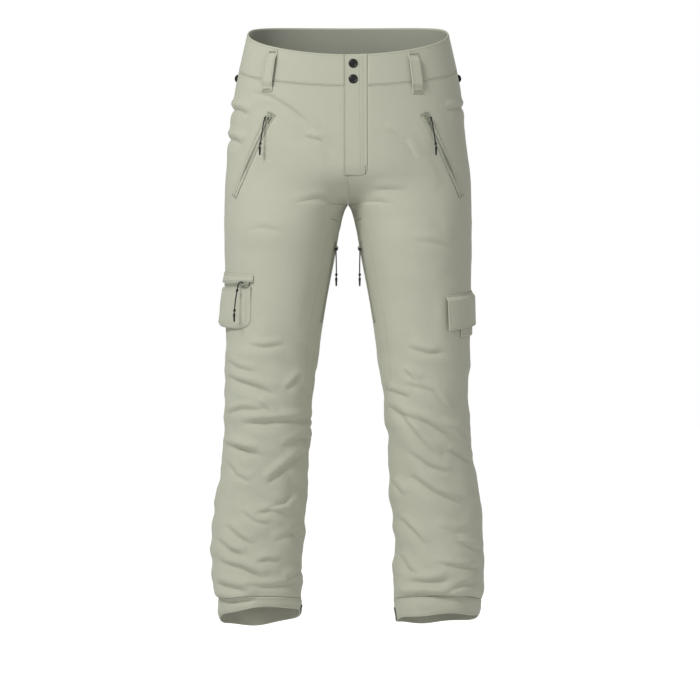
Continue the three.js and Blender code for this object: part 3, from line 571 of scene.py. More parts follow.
class Groups:
    """The shader groups that several finishes use, each built once."""

    made: dict[str, bpy.types.NodeTree] = {}

    @classmethod
    def start(cls, name: str, inputs: dict[str, float], outputs: Sequence[str]) -> bpy.types.NodeTree:
        """A new shader group with a vector input, number inputs and number outputs."""
        tree = bpy.data.node_groups.new(name, "ShaderNodeTree")
        tree.interface.new_socket("Vector", in_out="INPUT", socket_type="NodeSocketVector")
        for key, value in inputs.items():
            socket = tree.interface.new_socket(key, in_out="INPUT", socket_type="NodeSocketFloat")
            socket.default_value = value
        for key in outputs:
            tree.interface.new_socket(key, in_out="OUTPUT", socket_type="NodeSocketFloat")
        cls.made[name] = tree
        return tree

    @classmethod
    def weave(cls) -> bpy.types.NodeTree:
        """Crossing threads over the cloth's own coordinates: their height and how much light they catch."""
        if "weave" in cls.made:
            return cls.made["weave"]
        tree = cls.start("weave", {"Threads": 1400.0, "Unevenness": 0.5}, ["Height", "Tone"])
        n, link = tree.nodes, tree.links
        inside, out = n.new("NodeGroupInput"), n.new("NodeGroupOutput")
        scaled = n.new("ShaderNodeVectorMath")
        scaled.operation = "SCALE"
        link.new(inside.outputs["Vector"], scaled.inputs[0])
        link.new(inside.outputs["Threads"], scaled.inputs["Scale"])
        parts = n.new("ShaderNodeSeparateXYZ")
        link.new(scaled.outputs[0], parts.inputs[0])
        waves = []
        for axis in ("X", "Y"):
            wave = n.new("ShaderNodeMath")
            wave.operation = "SINE"
            link.new(parts.outputs[axis], wave.inputs[0])
            waves.append(wave)
        crossed = n.new("ShaderNodeMath")
        crossed.operation = "MULTIPLY"
        link.new(waves[0].outputs[0], crossed.inputs[0])
        link.new(waves[1].outputs[0], crossed.inputs[1])
        slub = n.new("ShaderNodeTexNoise")
        slub.inputs["Scale"].default_value = 420.0
        slub.inputs["Detail"].default_value = 3.0
        link.new(inside.outputs["Vector"], slub.inputs["Vector"])
        uneven = n.new("ShaderNodeMath")
        uneven.operation = "MULTIPLY_ADD"
        uneven.inputs[2].default_value = 0.0
        link.new(slub.outputs["Fac"], uneven.inputs[0])
        link.new(inside.outputs["Unevenness"], uneven.inputs[1])
        total = n.new("ShaderNodeMath")
        total.operation = "MULTIPLY_ADD"
        total.inputs[1].default_value = 0.5
        link.new(crossed.outputs[0], total.inputs[0])
        link.new(uneven.outputs[0], total.inputs[2])
        link.new(total.outputs[0], out.inputs["Height"])
        link.new(slub.outputs["Fac"], out.inputs["Tone"])
        return tree

    @classmethod
    def mottle(cls) -> bpy.types.NodeTree:
        """Slow, uneven patches, for cloth that has been worn and surfaces that aren't quite even."""
        if "mottle" in cls.made:
            return cls.made["mottle"]
        tree = cls.start("mottle", {"Scale": 9.0, "Roughness": 0.55}, ["Tone"])
        n, link = tree.nodes, tree.links
        inside, out = n.new("NodeGroupInput"), n.new("NodeGroupOutput")
        cloud = n.new("ShaderNodeTexNoise")
        cloud.inputs["Detail"].default_value = 5.0
        link.new(inside.outputs["Vector"], cloud.inputs["Vector"])
        link.new(inside.outputs["Scale"], cloud.inputs["Scale"])
        link.new(inside.outputs["Roughness"], cloud.inputs["Roughness"])
        link.new(cloud.outputs["Fac"], out.inputs["Tone"])
        return tree

    @classmethod
    def braid(cls) -> bpy.types.NodeTree:
        """Two sets of strands that cross on a slant, as on a cord or webbing."""
        if "braid" in cls.made:
            return cls.made["braid"]
        tree = cls.start("braid", {"Strands": 2600.0}, ["Height"])
        n, link = tree.nodes, tree.links
        inside, out = n.new("NodeGroupInput"), n.new("NodeGroupOutput")
        scaled = n.new("ShaderNodeVectorMath")
        scaled.operation = "SCALE"
        link.new(inside.outputs["Vector"], scaled.inputs[0])
        link.new(inside.outputs["Strands"], scaled.inputs["Scale"])
        parts = n.new("ShaderNodeSeparateXYZ")
        link.new(scaled.outputs[0], parts.inputs[0])
        slants = []
        for operation in ("ADD", "SUBTRACT"):
            mixed = n.new("ShaderNodeMath")
            mixed.operation = operation
            link.new(parts.outputs["X"], mixed.inputs[0])
            link.new(parts.outputs["Z"], mixed.inputs[1])
            wave = n.new("ShaderNodeMath")
            wave.operation = "SINE"
            link.new(mixed.outputs[0], wave.inputs[0])
            slants.append(wave)
        crossed = n.new("ShaderNodeMath")
        crossed.operation = "MAXIMUM"
        link.new(slants[0].outputs[0], crossed.inputs[0])
        link.new(slants[1].outputs[0], crossed.inputs[1])
        link.new(crossed.outputs[0], out.inputs["Height"])
        return tree


@dataclass(frozen=True)
class Finish:
    """One finish: two colours that a slow mottle mixes, and a relief from threads, strands or grain."""

    name: str
    slot: Slot
    light: tuple[float, float, float]
    dark: tuple[float, float, float]
    roughness: float
    relief: str = "weave"
    strength: float = 0.2
    threads: float = 1400.0
    patches: float = 9.0
    metallic: float = 0.0
    sheen: float = 0.0
    coat: float = 0.0
    pattern: Pattern = Pattern.CLOTH

    def material(self) -> bpy.types.Material:
        """The finish's material, built on its first use."""
        found = bpy.data.materials.get(self.name)
        if found:
            return found
        made = bpy.data.materials.new(self.name)
        made.use_nodes = True
        n, link = made.node_tree.nodes, made.node_tree.links
        shader = n["Principled BSDF"]
        shader.inputs["Metallic"].default_value = self.metallic
        shader.inputs["Sheen Weight"].default_value = self.sheen
        shader.inputs["Sheen Roughness"].default_value = 0.5
        shader.inputs["Coat Weight"].default_value = self.coat
        shader.inputs["Specular IOR Level"].default_value = 0.35
        if self.pattern is Pattern.CLOTH:
            where = n.new("ShaderNodeUVMap")
            where.uv_map = "cloth"
            vector = where.outputs["UV"]
        else:
            vector = n.new("ShaderNodeTexCoord").outputs["Object"]
        mottle = n.new("ShaderNodeGroup")
        mottle.node_tree = Groups.mottle()
        mottle.inputs["Scale"].default_value = self.patches
        link.new(vector, mottle.inputs["Vector"])
        colour = n.new("ShaderNodeMix")
        colour.data_type = "RGBA"
        colour.inputs["A"].default_value = (*self.dark, 1)
        colour.inputs["B"].default_value = (*self.light, 1)
        relief = n.new("ShaderNodeGroup")
        relief.node_tree = Groups.braid() if self.relief == "braid" else Groups.weave()
        relief.inputs["Strands" if self.relief == "braid" else "Threads"].default_value = self.threads
        link.new(vector, relief.inputs["Vector"])
        mixed = n.new("ShaderNodeMath")
        mixed.operation = "MULTIPLY_ADD"
        mixed.inputs[1].default_value = 0.5
        link.new(mottle.outputs["Tone"], mixed.inputs[0])
        half = n.new("ShaderNodeMath")
        half.operation = "MULTIPLY"
        half.inputs[1].default_value = 0.5
        link.new(relief.outputs[-1], half.inputs[0])
        link.new(half.outputs[0], mixed.inputs[2])
        link.new(mixed.outputs[0], colour.inputs["Factor"])
        link.new(colour.outputs["Result"], shader.inputs["Base Color"])
        rough = n.new("ShaderNodeMapRange")
        rough.inputs["To Min"].default_value = self.roughness - 0.06
        rough.inputs["To Max"].default_value = min(self.roughness + 0.06, 1)
        link.new(mottle.outputs["Tone"], rough.inputs["Value"])
        link.new(rough.outputs[0], shader.inputs["Roughness"])
        bump = n.new("ShaderNodeBump")
        bump.inputs["Strength"].default_value = self.strength
        bump.inputs["Distance"].default_value = 0.0004
        link.new(relief.outputs["Height"], bump.inputs["Height"])
        link.new(bump.outputs["Normal"], shader.inputs["Normal"])
        return made


SHELL_CLOTH = Finish(
    "shell_cloth", Slot.SHELL, (0.512, 0.518, 0.412), (0.436, 0.443, 0.350), 0.86, sheen=0.12, strength=0.22
)
LINING_CLOTH = Finish(
    "lining_cloth", Slot.LINING, (0.42, 0.43, 0.36), (0.31, 0.32, 0.26), 0.7, threads=1900.0, sheen=0.1
)
MESH_CLOTH = Finish(
    "mesh_cloth", Slot.LINING, (0.36, 0.37, 0.30), (0.16, 0.165, 0.135), 0.85, threads=900.0, strength=0.9
)
TAPE_CLOTH = Finish(
    "tape_cloth", Slot.TAPE, (0.42, 0.43, 0.34), (0.33, 0.34, 0.27), 0.6, threads=2400.0, strength=0.3
)
COIL = Finish(
    "zip_coil", Slot.TAPE, (0.36, 0.37, 0.29), (0.27, 0.275, 0.215), 0.42,
    pattern=Pattern.PIECE, strength=0.05,
)  # fmt: skip
THREAD = Finish(
    "thread", Slot.SHELL, (0.40, 0.405, 0.315), (0.31, 0.315, 0.245), 0.75,
    pattern=Pattern.PIECE, strength=0.1,
)  # fmt: skip
SLIDER_PAINT = Finish(
    "slider_paint", Slot.ZIP_METAL, (0.40, 0.41, 0.32), (0.32, 0.33, 0.26), 0.36, strength=0.04,
    patches=260.0, metallic=0.25, coat=0.25, pattern=Pattern.PIECE,
)  # fmt: skip
SNAP_LACQUER = Finish(
    "snap_lacquer", Slot.SNAP_METAL, (0.022, 0.022, 0.023), (0.009, 0.009, 0.010), 0.33, strength=0.05,
    patches=180.0, metallic=0.35, coat=0.4, pattern=Pattern.PIECE,
)  # fmt: skip
CORD_BRAID = Finish(
    "cord_braid", Slot.CORD, (0.020, 0.020, 0.021), (0.006, 0.006, 0.006), 0.82, relief="braid",
    threads=5200.0, strength=0.7, patches=300.0, sheen=0.15, pattern=Pattern.PIECE,
)  # fmt: skip
MOULDED = Finish(
    "moulded_rubber", Slot.RUBBER, (0.024, 0.024, 0.024), (0.012, 0.012, 0.012), 0.52, strength=0.15,
    patches=160.0, pattern=Pattern.PIECE,
)  # fmt: skip
SCUFF_PATCH = Finish(
    "scuff_patch", Slot.RUBBER, (0.034, 0.034, 0.033), (0.014, 0.014, 0.014), 0.68,
    threads=1000.0, strength=0.6,
)  # fmt: skip
WEBBING = Finish(
    "webbing", Slot.WEBBING, (0.028, 0.028, 0.028), (0.010, 0.010, 0.010), 0.8, relief="braid",
    threads=2600.0, strength=0.6, patches=120.0, pattern=Pattern.PIECE,
)  # fmt: skip


def dress(
    piece: bpy.types.Object, finish: Finish, body: str = "pants", replaces: Sequence[str] = ()
) -> bpy.types.Object:
    """Gives a finished piece its material, its body and the part's solids that it stands for."""
    piece.data.materials.clear()
    piece.data.materials.append(finish.material())
    if body:
        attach(piece, body)
    if replaces:
        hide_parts(*replaces)
    log.info("%s: %d faces, on %s", piece.name, len(piece.data.polygons), body or "two bodies")
    return piece


def dress_solid(node: str, finish: Finish) -> None:
    """Gives one of the part's own solids its finish."""
    solid = frame["nodes"][node]
    solid.data.materials.clear()
    solid.data.materials.append(finish.material())


def volume_of(points: Array, faces: Array) -> float:
    """Signed volume of a closed mesh of quads: below zero when its faces point in."""
    a, b, c, d = (points[faces[:, i]] for i in range(4))
    twice = (a * np.cross(b, c)).sum(-1) + (a * np.cross(c, d)).sum(-1)
    return float(twice.sum())


# ---------------------------------------------------------------- layers of cloth


class Edge(Enum):
    """The four edges of a layer."""

    TOP = "top"
    BOTTOM = "bottom"
    START = "start"
    END = "end"


@dataclass
class Layer:
    """A closed layer of cloth over a surface, with soft turned edges.

    place gives points and normals for u across and v down; top and bottom are the heights of its two faces.
    """

    name: str
    place: Place
    columns: int
    rows: int
    top: Height = 0.0
    bottom: Height = -0.002
    roll: float = 0.0
    wrapped: bool = False
    exact_rows: tuple[float, ...] = ()

    def __post_init__(self) -> None:
        """Measures the layer's width and height, for its edges and seams."""
        self.coarse = np.linspace(0, 1, 33)
        u, v = np.meshgrid(self.coarse, self.coarse, indexing="ij")
        points, _ = self.place(u, v)
        self.widths = np.linalg.norm(np.diff(points, axis=0), axis=-1).sum(0)
        self.heights = np.linalg.norm(np.diff(points, axis=1), axis=-1).sum(1)

    def flat_size(self) -> tuple[float, float]:
        """The width and length that the layer is cut to, laid flat."""
        return round(float(self.widths.mean()), 3), round(float(self.heights.mean()), 3)

    def _steps(self, count: int, size: float, closed: bool) -> Array:
        """Even steps from 0 to 1, with a few more by the two edges."""
        even = np.linspace(0, 1, count + 1)
        if closed or self.roll <= 0:
            return even
        near = np.array([0.08, 0.3, 0.62, 1.0]) * self.roll / size
        inner = even[(even > near[-1] * 1.3) & (even < 1 - near[-1] * 1.3)]
        return np.concatenate([[0], near, inner, 1 - near[::-1], [1]])

    def _dip(self, u: Array, v: Array) -> Array:
        """Share of half the thickness that the faces fall by the edges."""
        if self.roll <= 0:
            return np.zeros(u.shape)
        width = np.interp(v, self.coarse, self.widths)
        height = np.interp(u, self.coarse, self.heights)
        off = np.minimum(v, 1 - v) * height
        if not self.wrapped:
            off = np.minimum(off, np.minimum(u, 1 - u) * width)
        x = 1 - np.clip(off / self.roll, 0, 1)
        return 0.96 * (1 - np.sqrt(np.maximum(1 - x * x, 0)))

    def _faces_at(self, u: Array, v: Array) -> tuple[Array, Array, Array]:
        """Points of the outer face, of the inner face, and the normals."""
        points, normals = self.place(u, v)
        top = self.top(u, v) if callable(self.top) else np.full(u.shape, self.top)
        bottom = self.bottom(u, v) if callable(self.bottom) else np.full(u.shape, self.bottom)
        dip = self._dip(u, v) * (top - bottom) / 2
        outer = points + normals * (top - dip)[..., None]
        inner = points + normals * (bottom + dip)[..., None]
        return outer, inner, normals

    def line(self, u: Array, v: Array) -> tuple[Array, Array]:
        """Points of the outer face along a line, and the normals there."""
        outer, _, normals = self._faces_at(np.asarray(u, float), np.asarray(v, float))
        return outer, normals

    def border(self, edge: Edge, inset: float, ends: float = 0.0015) -> tuple[Array, Array]:
        """A line on the outer face, a distance in from one edge.

        Args:
            edge: The edge that it follows.
            inset: Its distance from that edge.
            ends: Its distance from the edges at its two ends.
        Returns:
            Points and normals along it.
        """
        across = edge in (Edge.TOP, Edge.BOTTOM)
        size = self.widths.mean() if across else self.heights.mean()
        t = np.linspace(ends / size, 1 - ends / size, max(int(size / 0.0016), 8))
        if across:
            v = inset / np.interp(t, self.coarse, self.heights)
            return self.line(t, v if edge is Edge.TOP else 1 - v)
        u = inset / np.interp(t, self.coarse, self.widths)
        return self.line(u if edge is Edge.START else 1 - u, t)

    def build(self) -> bpy.types.Object:
        """The layer as a closed mesh, with the cloth's own coordinates in metres."""
        us = self._steps(self.columns, float(self.widths.mean()), self.wrapped)
        vs = self._steps(self.rows, float(self.heights.mean()), False)
        if self.exact_rows:
            vs = np.unique(np.concatenate([vs, self.exact_rows]))
        u, v = np.meshgrid(us, vs, indexing="ij")
        outer, inner, _ = self._faces_at(u, v)
        nu, nv = u.shape
        index = np.arange(nu * nv).reshape(nu, nv)
        a, b = index[:-1, :-1], index[1:, :-1]
        c, d = index[1:, 1:], index[:-1, 1:]
        front = np.stack([a, b, c, d], -1).reshape(-1, 4)
        under = front[:, ::-1] + nu * nv
        rims = [np.stack([index[:-1, j], index[1:, j]], -1) for j in (0, nv - 1)]
        if not self.wrapped:
            rims += [np.stack([index[i, :-1], index[i, 1:]], -1) for i in (0, nu - 1)]
        walls = []
        for k, rim in enumerate(rims):
            wall = np.stack([rim[:, 0], rim[:, 0] + nu * nv, rim[:, 1] + nu * nv, rim[:, 1]], -1)
            walls.append(wall if k in (0, 3) else wall[:, ::-1])
        faces = np.concatenate([front, under, *walls])
        points = np.concatenate([outer.reshape(-1, 3), inner.reshape(-1, 3)])
        across = np.interp(v, self.coarse, self.widths) * u
        down = np.interp(u, self.coarse, self.heights) * v
        flat = np.stack([across, down], -1).reshape(-1, 2)
        flat = np.concatenate([flat, flat])
        corners = faces
        if self.wrapped:
            last = np.arange((nu - 1) * nv, nu * nv)
            renamed = np.arange(2 * nu * nv)
            renamed[last] = last - (nu - 1) * nv
            renamed[last + nu * nv] = renamed[last] + nu * nv
            faces = renamed[faces]
        if volume_of(points, faces) < 0:
            faces, corners = faces[:, ::-1], corners[:, ::-1]
        keep = np.unique(faces)
        compact = np.zeros(len(points), int)
        compact[keep] = np.arange(len(keep))
        mesh = bpy.data.meshes.new(self.name)
        mesh.from_pydata(points[keep].tolist(), [], compact[faces].tolist())
        layer = mesh.uv_layers.new(name="cloth")
        layer.data.foreach_set("uv", flat[corners.reshape(-1)].astype(np.float32).ravel())
        mesh.shade_smooth()
        made = bpy.data.objects.new(self.name, mesh)
        bpy.context.scene.collection.objects.link(made)
        return made


# ---------------------------------------------------------------- what repeats along a line


class RailTree:
    """The Geometry Nodes tree that sets small bodies along rails, and the rails' conversion to a mesh."""

    tree: bpy.types.NodeTree | None = None

    @classmethod
    def built(cls) -> bpy.types.NodeTree:
        """The tree, built on its first use.

        Returns:
            A tree that resamples the rails, sets a scaled small ball at each step, turned to the rail and to
            the cloth's normal, then realizes it and sets its material.
        """
        if cls.tree:
            return cls.tree
        tree = bpy.data.node_groups.new("bodies_along_rails", "GeometryNodeTree")
        new = tree.interface.new_socket
        new("Rails", in_out="INPUT", socket_type="NodeSocketGeometry")
        for name, value in (("Spacing", 0.003), ("Length", 0.002), ("Width", 0.0005), ("Height", 0.0005)):
            new(name, in_out="INPUT", socket_type="NodeSocketFloat").default_value = value
        new("Material", in_out="INPUT", socket_type="NodeSocketMaterial")
        new("Geometry", in_out="OUTPUT", socket_type="NodeSocketGeometry")
        n, link = tree.nodes, tree.links
        inside, out = n.new("NodeGroupInput"), n.new("NodeGroupOutput")
        curve = n.new("GeometryNodeMeshToCurve")
        even = n.new("GeometryNodeResampleCurve")
        even.mode = "LENGTH"
        link.new(inside.outputs["Rails"], curve.inputs["Mesh"])
        link.new(curve.outputs["Curve"], even.inputs["Curve"])
        link.new(inside.outputs["Spacing"], even.inputs["Length"])
        along = n.new("GeometryNodeInputTangent")
        facing = n.new("GeometryNodeInputNamedAttribute")
        facing.data_type = "FLOAT_VECTOR"
        facing.inputs["Name"].default_value = "facing"
        lay = n.new("FunctionNodeAlignRotationToVector")
        lay.axis = "X"
        stand = n.new("FunctionNodeAlignRotationToVector")
        stand.axis, stand.pivot_axis = "Z", "X"
        link.new(along.outputs["Tangent"], lay.inputs["Vector"])
        link.new(lay.outputs["Rotation"], stand.inputs["Rotation"])
        link.new(facing.outputs["Attribute"], stand.inputs["Vector"])
        ball = n.new("GeometryNodeMeshIcoSphere")
        ball.inputs["Radius"].default_value = 0.5
        ball.inputs["Subdivisions"].default_value = 2
        size = n.new("ShaderNodeCombineXYZ")
        for axis, name in (("X", "Length"), ("Y", "Width"), ("Z", "Height")):
            link.new(inside.outputs[name], size.inputs[axis])
        place = n.new("GeometryNodeInstanceOnPoints")
        link.new(even.outputs["Curve"], place.inputs["Points"])
        link.new(ball.outputs["Mesh"], place.inputs["Instance"])
        link.new(stand.outputs["Rotation"], place.inputs["Rotation"])
        link.new(size.outputs["Vector"], place.inputs["Scale"])
        real = n.new("GeometryNodeRealizeInstances")
        smooth = n.new("GeometryNodeSetShadeSmooth")
        paint = n.new("GeometryNodeSetMaterial")
        link.new(place.outputs["Instances"], real.inputs["Geometry"])
        link.new(real.outputs["Geometry"], smooth.inputs["Geometry"])
        link.new(smooth.outputs["Geometry"], paint.inputs["Geometry"])
        link.new(inside.outputs["Material"], paint.inputs["Material"])
        link.new(paint.outputs["Geometry"], out.inputs["Geometry"])
        cls.tree = tree
        return tree


@dataclass
class Rails:
    """Small equal bodies along lines, such as stitches or the turns of a zip's coil."""

    name: str
    finish: Finish
    spacing: float
    length: float
    width: float
    height: float
    lines: list[tuple[Array, Array]] = field(default_factory=list)

    def add(self, line: tuple[Array, Array], lift: float = 0.0) -> None:
        """Adds a line of points and normals, lifted off the cloth."""
        points, normals = line
        self.lines.append((points + normals * lift, normals))

    def build(self) -> bpy.types.Object:
        """All the bodies as one plain mesh."""
        points = np.concatenate([p for p, _ in self.lines])
        facing = np.concatenate([n for _, n in self.lines])
        edges, start = [], 0
        for p, _ in self.lines:
            edges += [(start + i, start + i + 1) for i in range(len(p) - 1)]
            start += len(p)
        mesh = bpy.data.meshes.new(self.name + "_rails")
        mesh.from_pydata(points.tolist(), edges, [])
        stored = mesh.attributes.new("facing", "FLOAT_VECTOR", "POINT")
        stored.data.foreach_set("vector", facing.astype(np.float32).ravel())
        rails = bpy.data.objects.new(self.name + "_rails", mesh)
        bpy.context.scene.collection.objects.link(rails)
        tree = RailTree.built()
        modifier = rails.modifiers.new("bodies", "NODES")
        modifier.node_group = tree
        values = {
            "Spacing": self.spacing,
            "Length": self.length,
            "Width": self.width,
            "Height": self.height,
            "Material": self.finish.material(),
        }
        for item in tree.interface.items_tree:
            if item.item_type == "SOCKET" and item.in_out == "INPUT" and item.name in values:
                modifier[item.identifier] = values[item.name]
        bpy.context.view_layer.update()
        ready = rails.evaluated_get(bpy.context.evaluated_depsgraph_get())
        plain_mesh = bpy.data.meshes.new_from_object(ready)
        plain_mesh.name = self.name
        bpy.data.objects.remove(rails)
        made = bpy.data.objects.new(self.name, plain_mesh)
        bpy.context.scene.collection.objects.link(made)
        return made


class Needle:
    """Collects every line of stitching, by the body that it moves with."""

    def __init__(self) -> None:
        """Starts with no stitching."""
        self.rows: dict[str, Rails] = {}
        self.tacks: dict[str, Rails] = {}

    def sew(self, line: tuple[Array, Array], body: str = "pants") -> None:
        """A line of topstitching."""
        rows = self.rows.setdefault(body, Rails(f"stitching_{body}", THREAD, 0.0031, 0.0024, 0.0007, 0.0006))
        rows.add(line, 0.0001)

    def tack(self, line: tuple[Array, Array], body: str = "pants") -> None:
        """A bar tack: short stitches packed side by side along a line."""
        fresh = Rails(f"bar_tacks_{body}", THREAD, 0.0006, 0.0007, 0.0022, 0.0009)
        tacks = self.tacks.setdefault(body, fresh)
        tacks.add(line, 0.0002)

    def on_front(self, corners: Sequence[tuple[float, float]], tack: bool = False) -> None:
        """Stitches a line on the front of the cloth through corners (x, z)."""
        line = np.array(corners, float)
        lengths = np.concatenate([[0], np.cumsum(np.linalg.norm(np.diff(line, axis=0), axis=1))])
        t = np.linspace(0, lengths[-1], max(int(lengths[-1] / 0.0016), 4))
        points = DRAPE.on_front(np.interp(t, lengths, line[:, 0]), np.interp(t, lengths, line[:, 1]))
        (self.tack if tack else self.sew)(points)

    def finish(self) -> None:
        """Builds the stitching, one mesh of each kind for each body."""
        for rails in (self.rows, self.tacks):
            for body, row in rails.items():
                dress(row.build(), THREAD, body)


NEEDLE = Needle()


# ---------------------------------------------------------------- zips


@dataclass(frozen=True)
class ZipPath:
    """The line a slider follows, read from the part's joints; t is metres down it from the closed end."""

    start: Array
    down0: Array
    out0: Array
    centre: Array | None = None
    axis: Array | None = None

    @staticmethod
    def of(glide: str, pull: str, pull_height: float = 0.0045) -> "ZipPath":
        """The path of a slider's joint, under the turning axis of its pull.

        Args:
            glide: The joint of the slider.
            pull: The joint of the slider's pull.
            pull_height: Height of the pull's axis over the middle of the tape.
        Returns:
            The path.
        """
        joints = {j["name"]: j for j in frame["joints"]}
        slider, hung = joints[glide], joints[pull]
        pin, axis = np.array(hung["pos_m"], float), unit(np.array(slider["axis"], float))
        if slider["type"] == "hinge":
            centre = np.array(slider["pos_m"], float)
            spoke = pin - centre
            out = unit(spoke - axis * (spoke @ axis))
            return ZipPath(pin - out * pull_height, np.cross(axis, out), out, centre, axis)
        across = -unit(np.array(hung["axis"], float))
        out = unit(np.cross(axis, across))
        return ZipPath(pin - out * pull_height, axis, out)

    def at(self, t: Array) -> tuple[Array, Array, Array, Array]:
        """Points, ways down, ways out of the cloth and ways across, at distances down the path."""
        t = np.asarray(t, float)[..., None]
        if self.centre is None:
            point = self.start + self.down0 * t
            out = np.broadcast_to(self.out0, point.shape)
            down = np.broadcast_to(self.down0, point.shape)
        else:
            spoke = self.start - self.centre
            rise = self.axis * (spoke @ self.axis)
            flat = spoke - rise
            angle = t / np.linalg.norm(flat)
            turned = flat * np.cos(angle) + np.cross(self.axis, flat) * np.sin(angle)
            point = self.centre + rise + turned
            out = unit(turned)
            down = np.cross(self.axis, out)
        return point, down, out, np.cross(out, down)

    def near(self, points: Array) -> tuple[Array, Array, Array]:
        """For points: how far down the path they are, how far across it and how high over it."""
        if self.centre is None:
            t = (points - self.start) @ self.down0
        else:
            flat0 = self.start - self.centre
            flat0 = flat0 - self.axis * (flat0 @ self.axis)
            flat = points - self.centre
            flat = flat - (flat @ self.axis)[..., None] * self.axis
            side = np.cross(self.axis, unit(flat0))
            t = np.arctan2(flat @ side, flat @ unit(flat0)) * np.linalg.norm(flat0)
        point, _, out, across = self.at(t)
        away = points - point
        return t, (away * across).sum(-1), (away * out).sum(-1)


@dataclass
class Zip:
    """A coil zip: two tapes, a coil of fine turns down their middle and a stop at each end."""

    name: str
    path: ZipPath
    travel: float
    half_tape: float = 0.0045
    thick: float = 0.0012
    end: float = 0.009

    def strip(self, name: str, across: tuple[float, float], low: float, high: float, roll: float) -> Layer:
        """A strip of tape between two places across the path and two heights over it."""

        def place(u: Array, v: Array) -> tuple[Array, Array]:
            """Points on the path's own surface."""
            point, _, out, ways = self.path.at(lerp(-self.end, self.travel + self.end, v))
            return point + ways * lerp(across[0], across[1], u)[..., None], out

        rows = int((self.travel + 2 * self.end) / 0.004)
        return Layer(name, place, 4, rows, high, low, roll)

    def build(self) -> None:
        """Builds the tape and coil, in place of the part's plain one."""
        tape = self.strip(
            f"{self.name}_tape", (-self.half_tape, self.half_tape), -self.thick / 2, self.thick / 2, 0.0004
        )
        dress(tape.build(), TAPE_CLOTH, "pants", [self.name])
        coil = Rails(f"{self.name}_coil", COIL, 0.0013, 0.0011, 0.0026, 0.0016)
        for side, shift in ((-1, 0.0), (1, 0.00065)):
            t = np.linspace(-self.end / 2 + shift, self.travel + self.end / 2 + shift, 120)
            point, _, out, across = self.path.at(t)
            coil.add((point + across * side * 0.00115 + out * (self.thick / 2 + 0.0002), out))
        dress(coil.build(), COIL)
        stops = Rails(f"{self.name}_stops", SLIDER_PAINT, 0.002, 0.0019, 0.0056, 0.0024)
        for t0 in (-self.end * 0.78, self.travel + self.end * 0.78):
            point, _, out, _ = self.path.at(np.linspace(t0 - 0.001, t0 + 0.001, 2))
            stops.add((point + out * self.thick / 2, out))
        dress(stops.build(), SLIDER_PAINT)

    def groove(self, points: Array, half: float = 0.0052, floor: float = -0.0029) -> Array:
        """How far the cloth is let in under the zip, as a height along its normal."""
        t, across, high = self.path.near(points)
        inside = 1 - smoothstep(np.abs(across), half - 0.0006, half + 0.0014)
        inside = inside * smoothstep(t, -self.end - 0.0012, -self.end + 0.0004)
        foot = self.travel + self.end
        inside = inside * (1 - smoothstep(t, foot - 0.0004, foot + 0.0012))
        near = (np.abs(high) < 0.03) & (t > -0.02) & (t < self.travel + 0.02)
        return np.where(near, inside * np.minimum(floor - high, 0), 0)

    def lips(self, side: int, low: float, high: float) -> None:
        """Two narrow welts along the zip, which hide the edges of its opening, and their stitching."""
        for word, way in (("front", 1), ("back", -1)):

            def place(u: Array, v: Array, way: int = way) -> tuple[Array, Array]:
                """Points of the cloth beside the zip."""
                t = lerp(-self.end - 0.0006, self.travel + self.end + 0.0006, v)
                point, _, _, across = self.path.at(t)
                aim = point + across * (way * side * lerp(0.0005, 0.0066, u))[..., None]
                ways = across[..., :2]
                s = FORM.turn_at(side, aim[..., 2], aim[..., :2], ways, low, high)
                return FORM.skin(side, s, aim[..., 2])

            rows = int(self.travel / 0.003)
            lip = Layer(f"{self.name}_lip_{word}", place, 5, rows, 0.0007, -0.0001, 0.0006)
            dress(lip.build(), SHELL_CLOTH)
            NEEDLE.sew(lip.border(Edge.END, 0.0012))
        for t0 in (-self.end - 0.001, self.travel + self.end + 0.001):
            point, _, out, across = self.path.at(np.full(14, t0))
            bar = point + across * np.linspace(-0.0075, 0.0075, 14)[:, None]
            ways = across[..., :2]
            s = FORM.turn_at(side, bar[..., 2], bar[..., :2], ways, low, high)
            skin, normal = FORM.skin(side, s, bar[..., 2])
            NEEDLE.tack((skin + normal * 0.0011, normal))


# ---------------------------------------------------------------- cord pulls


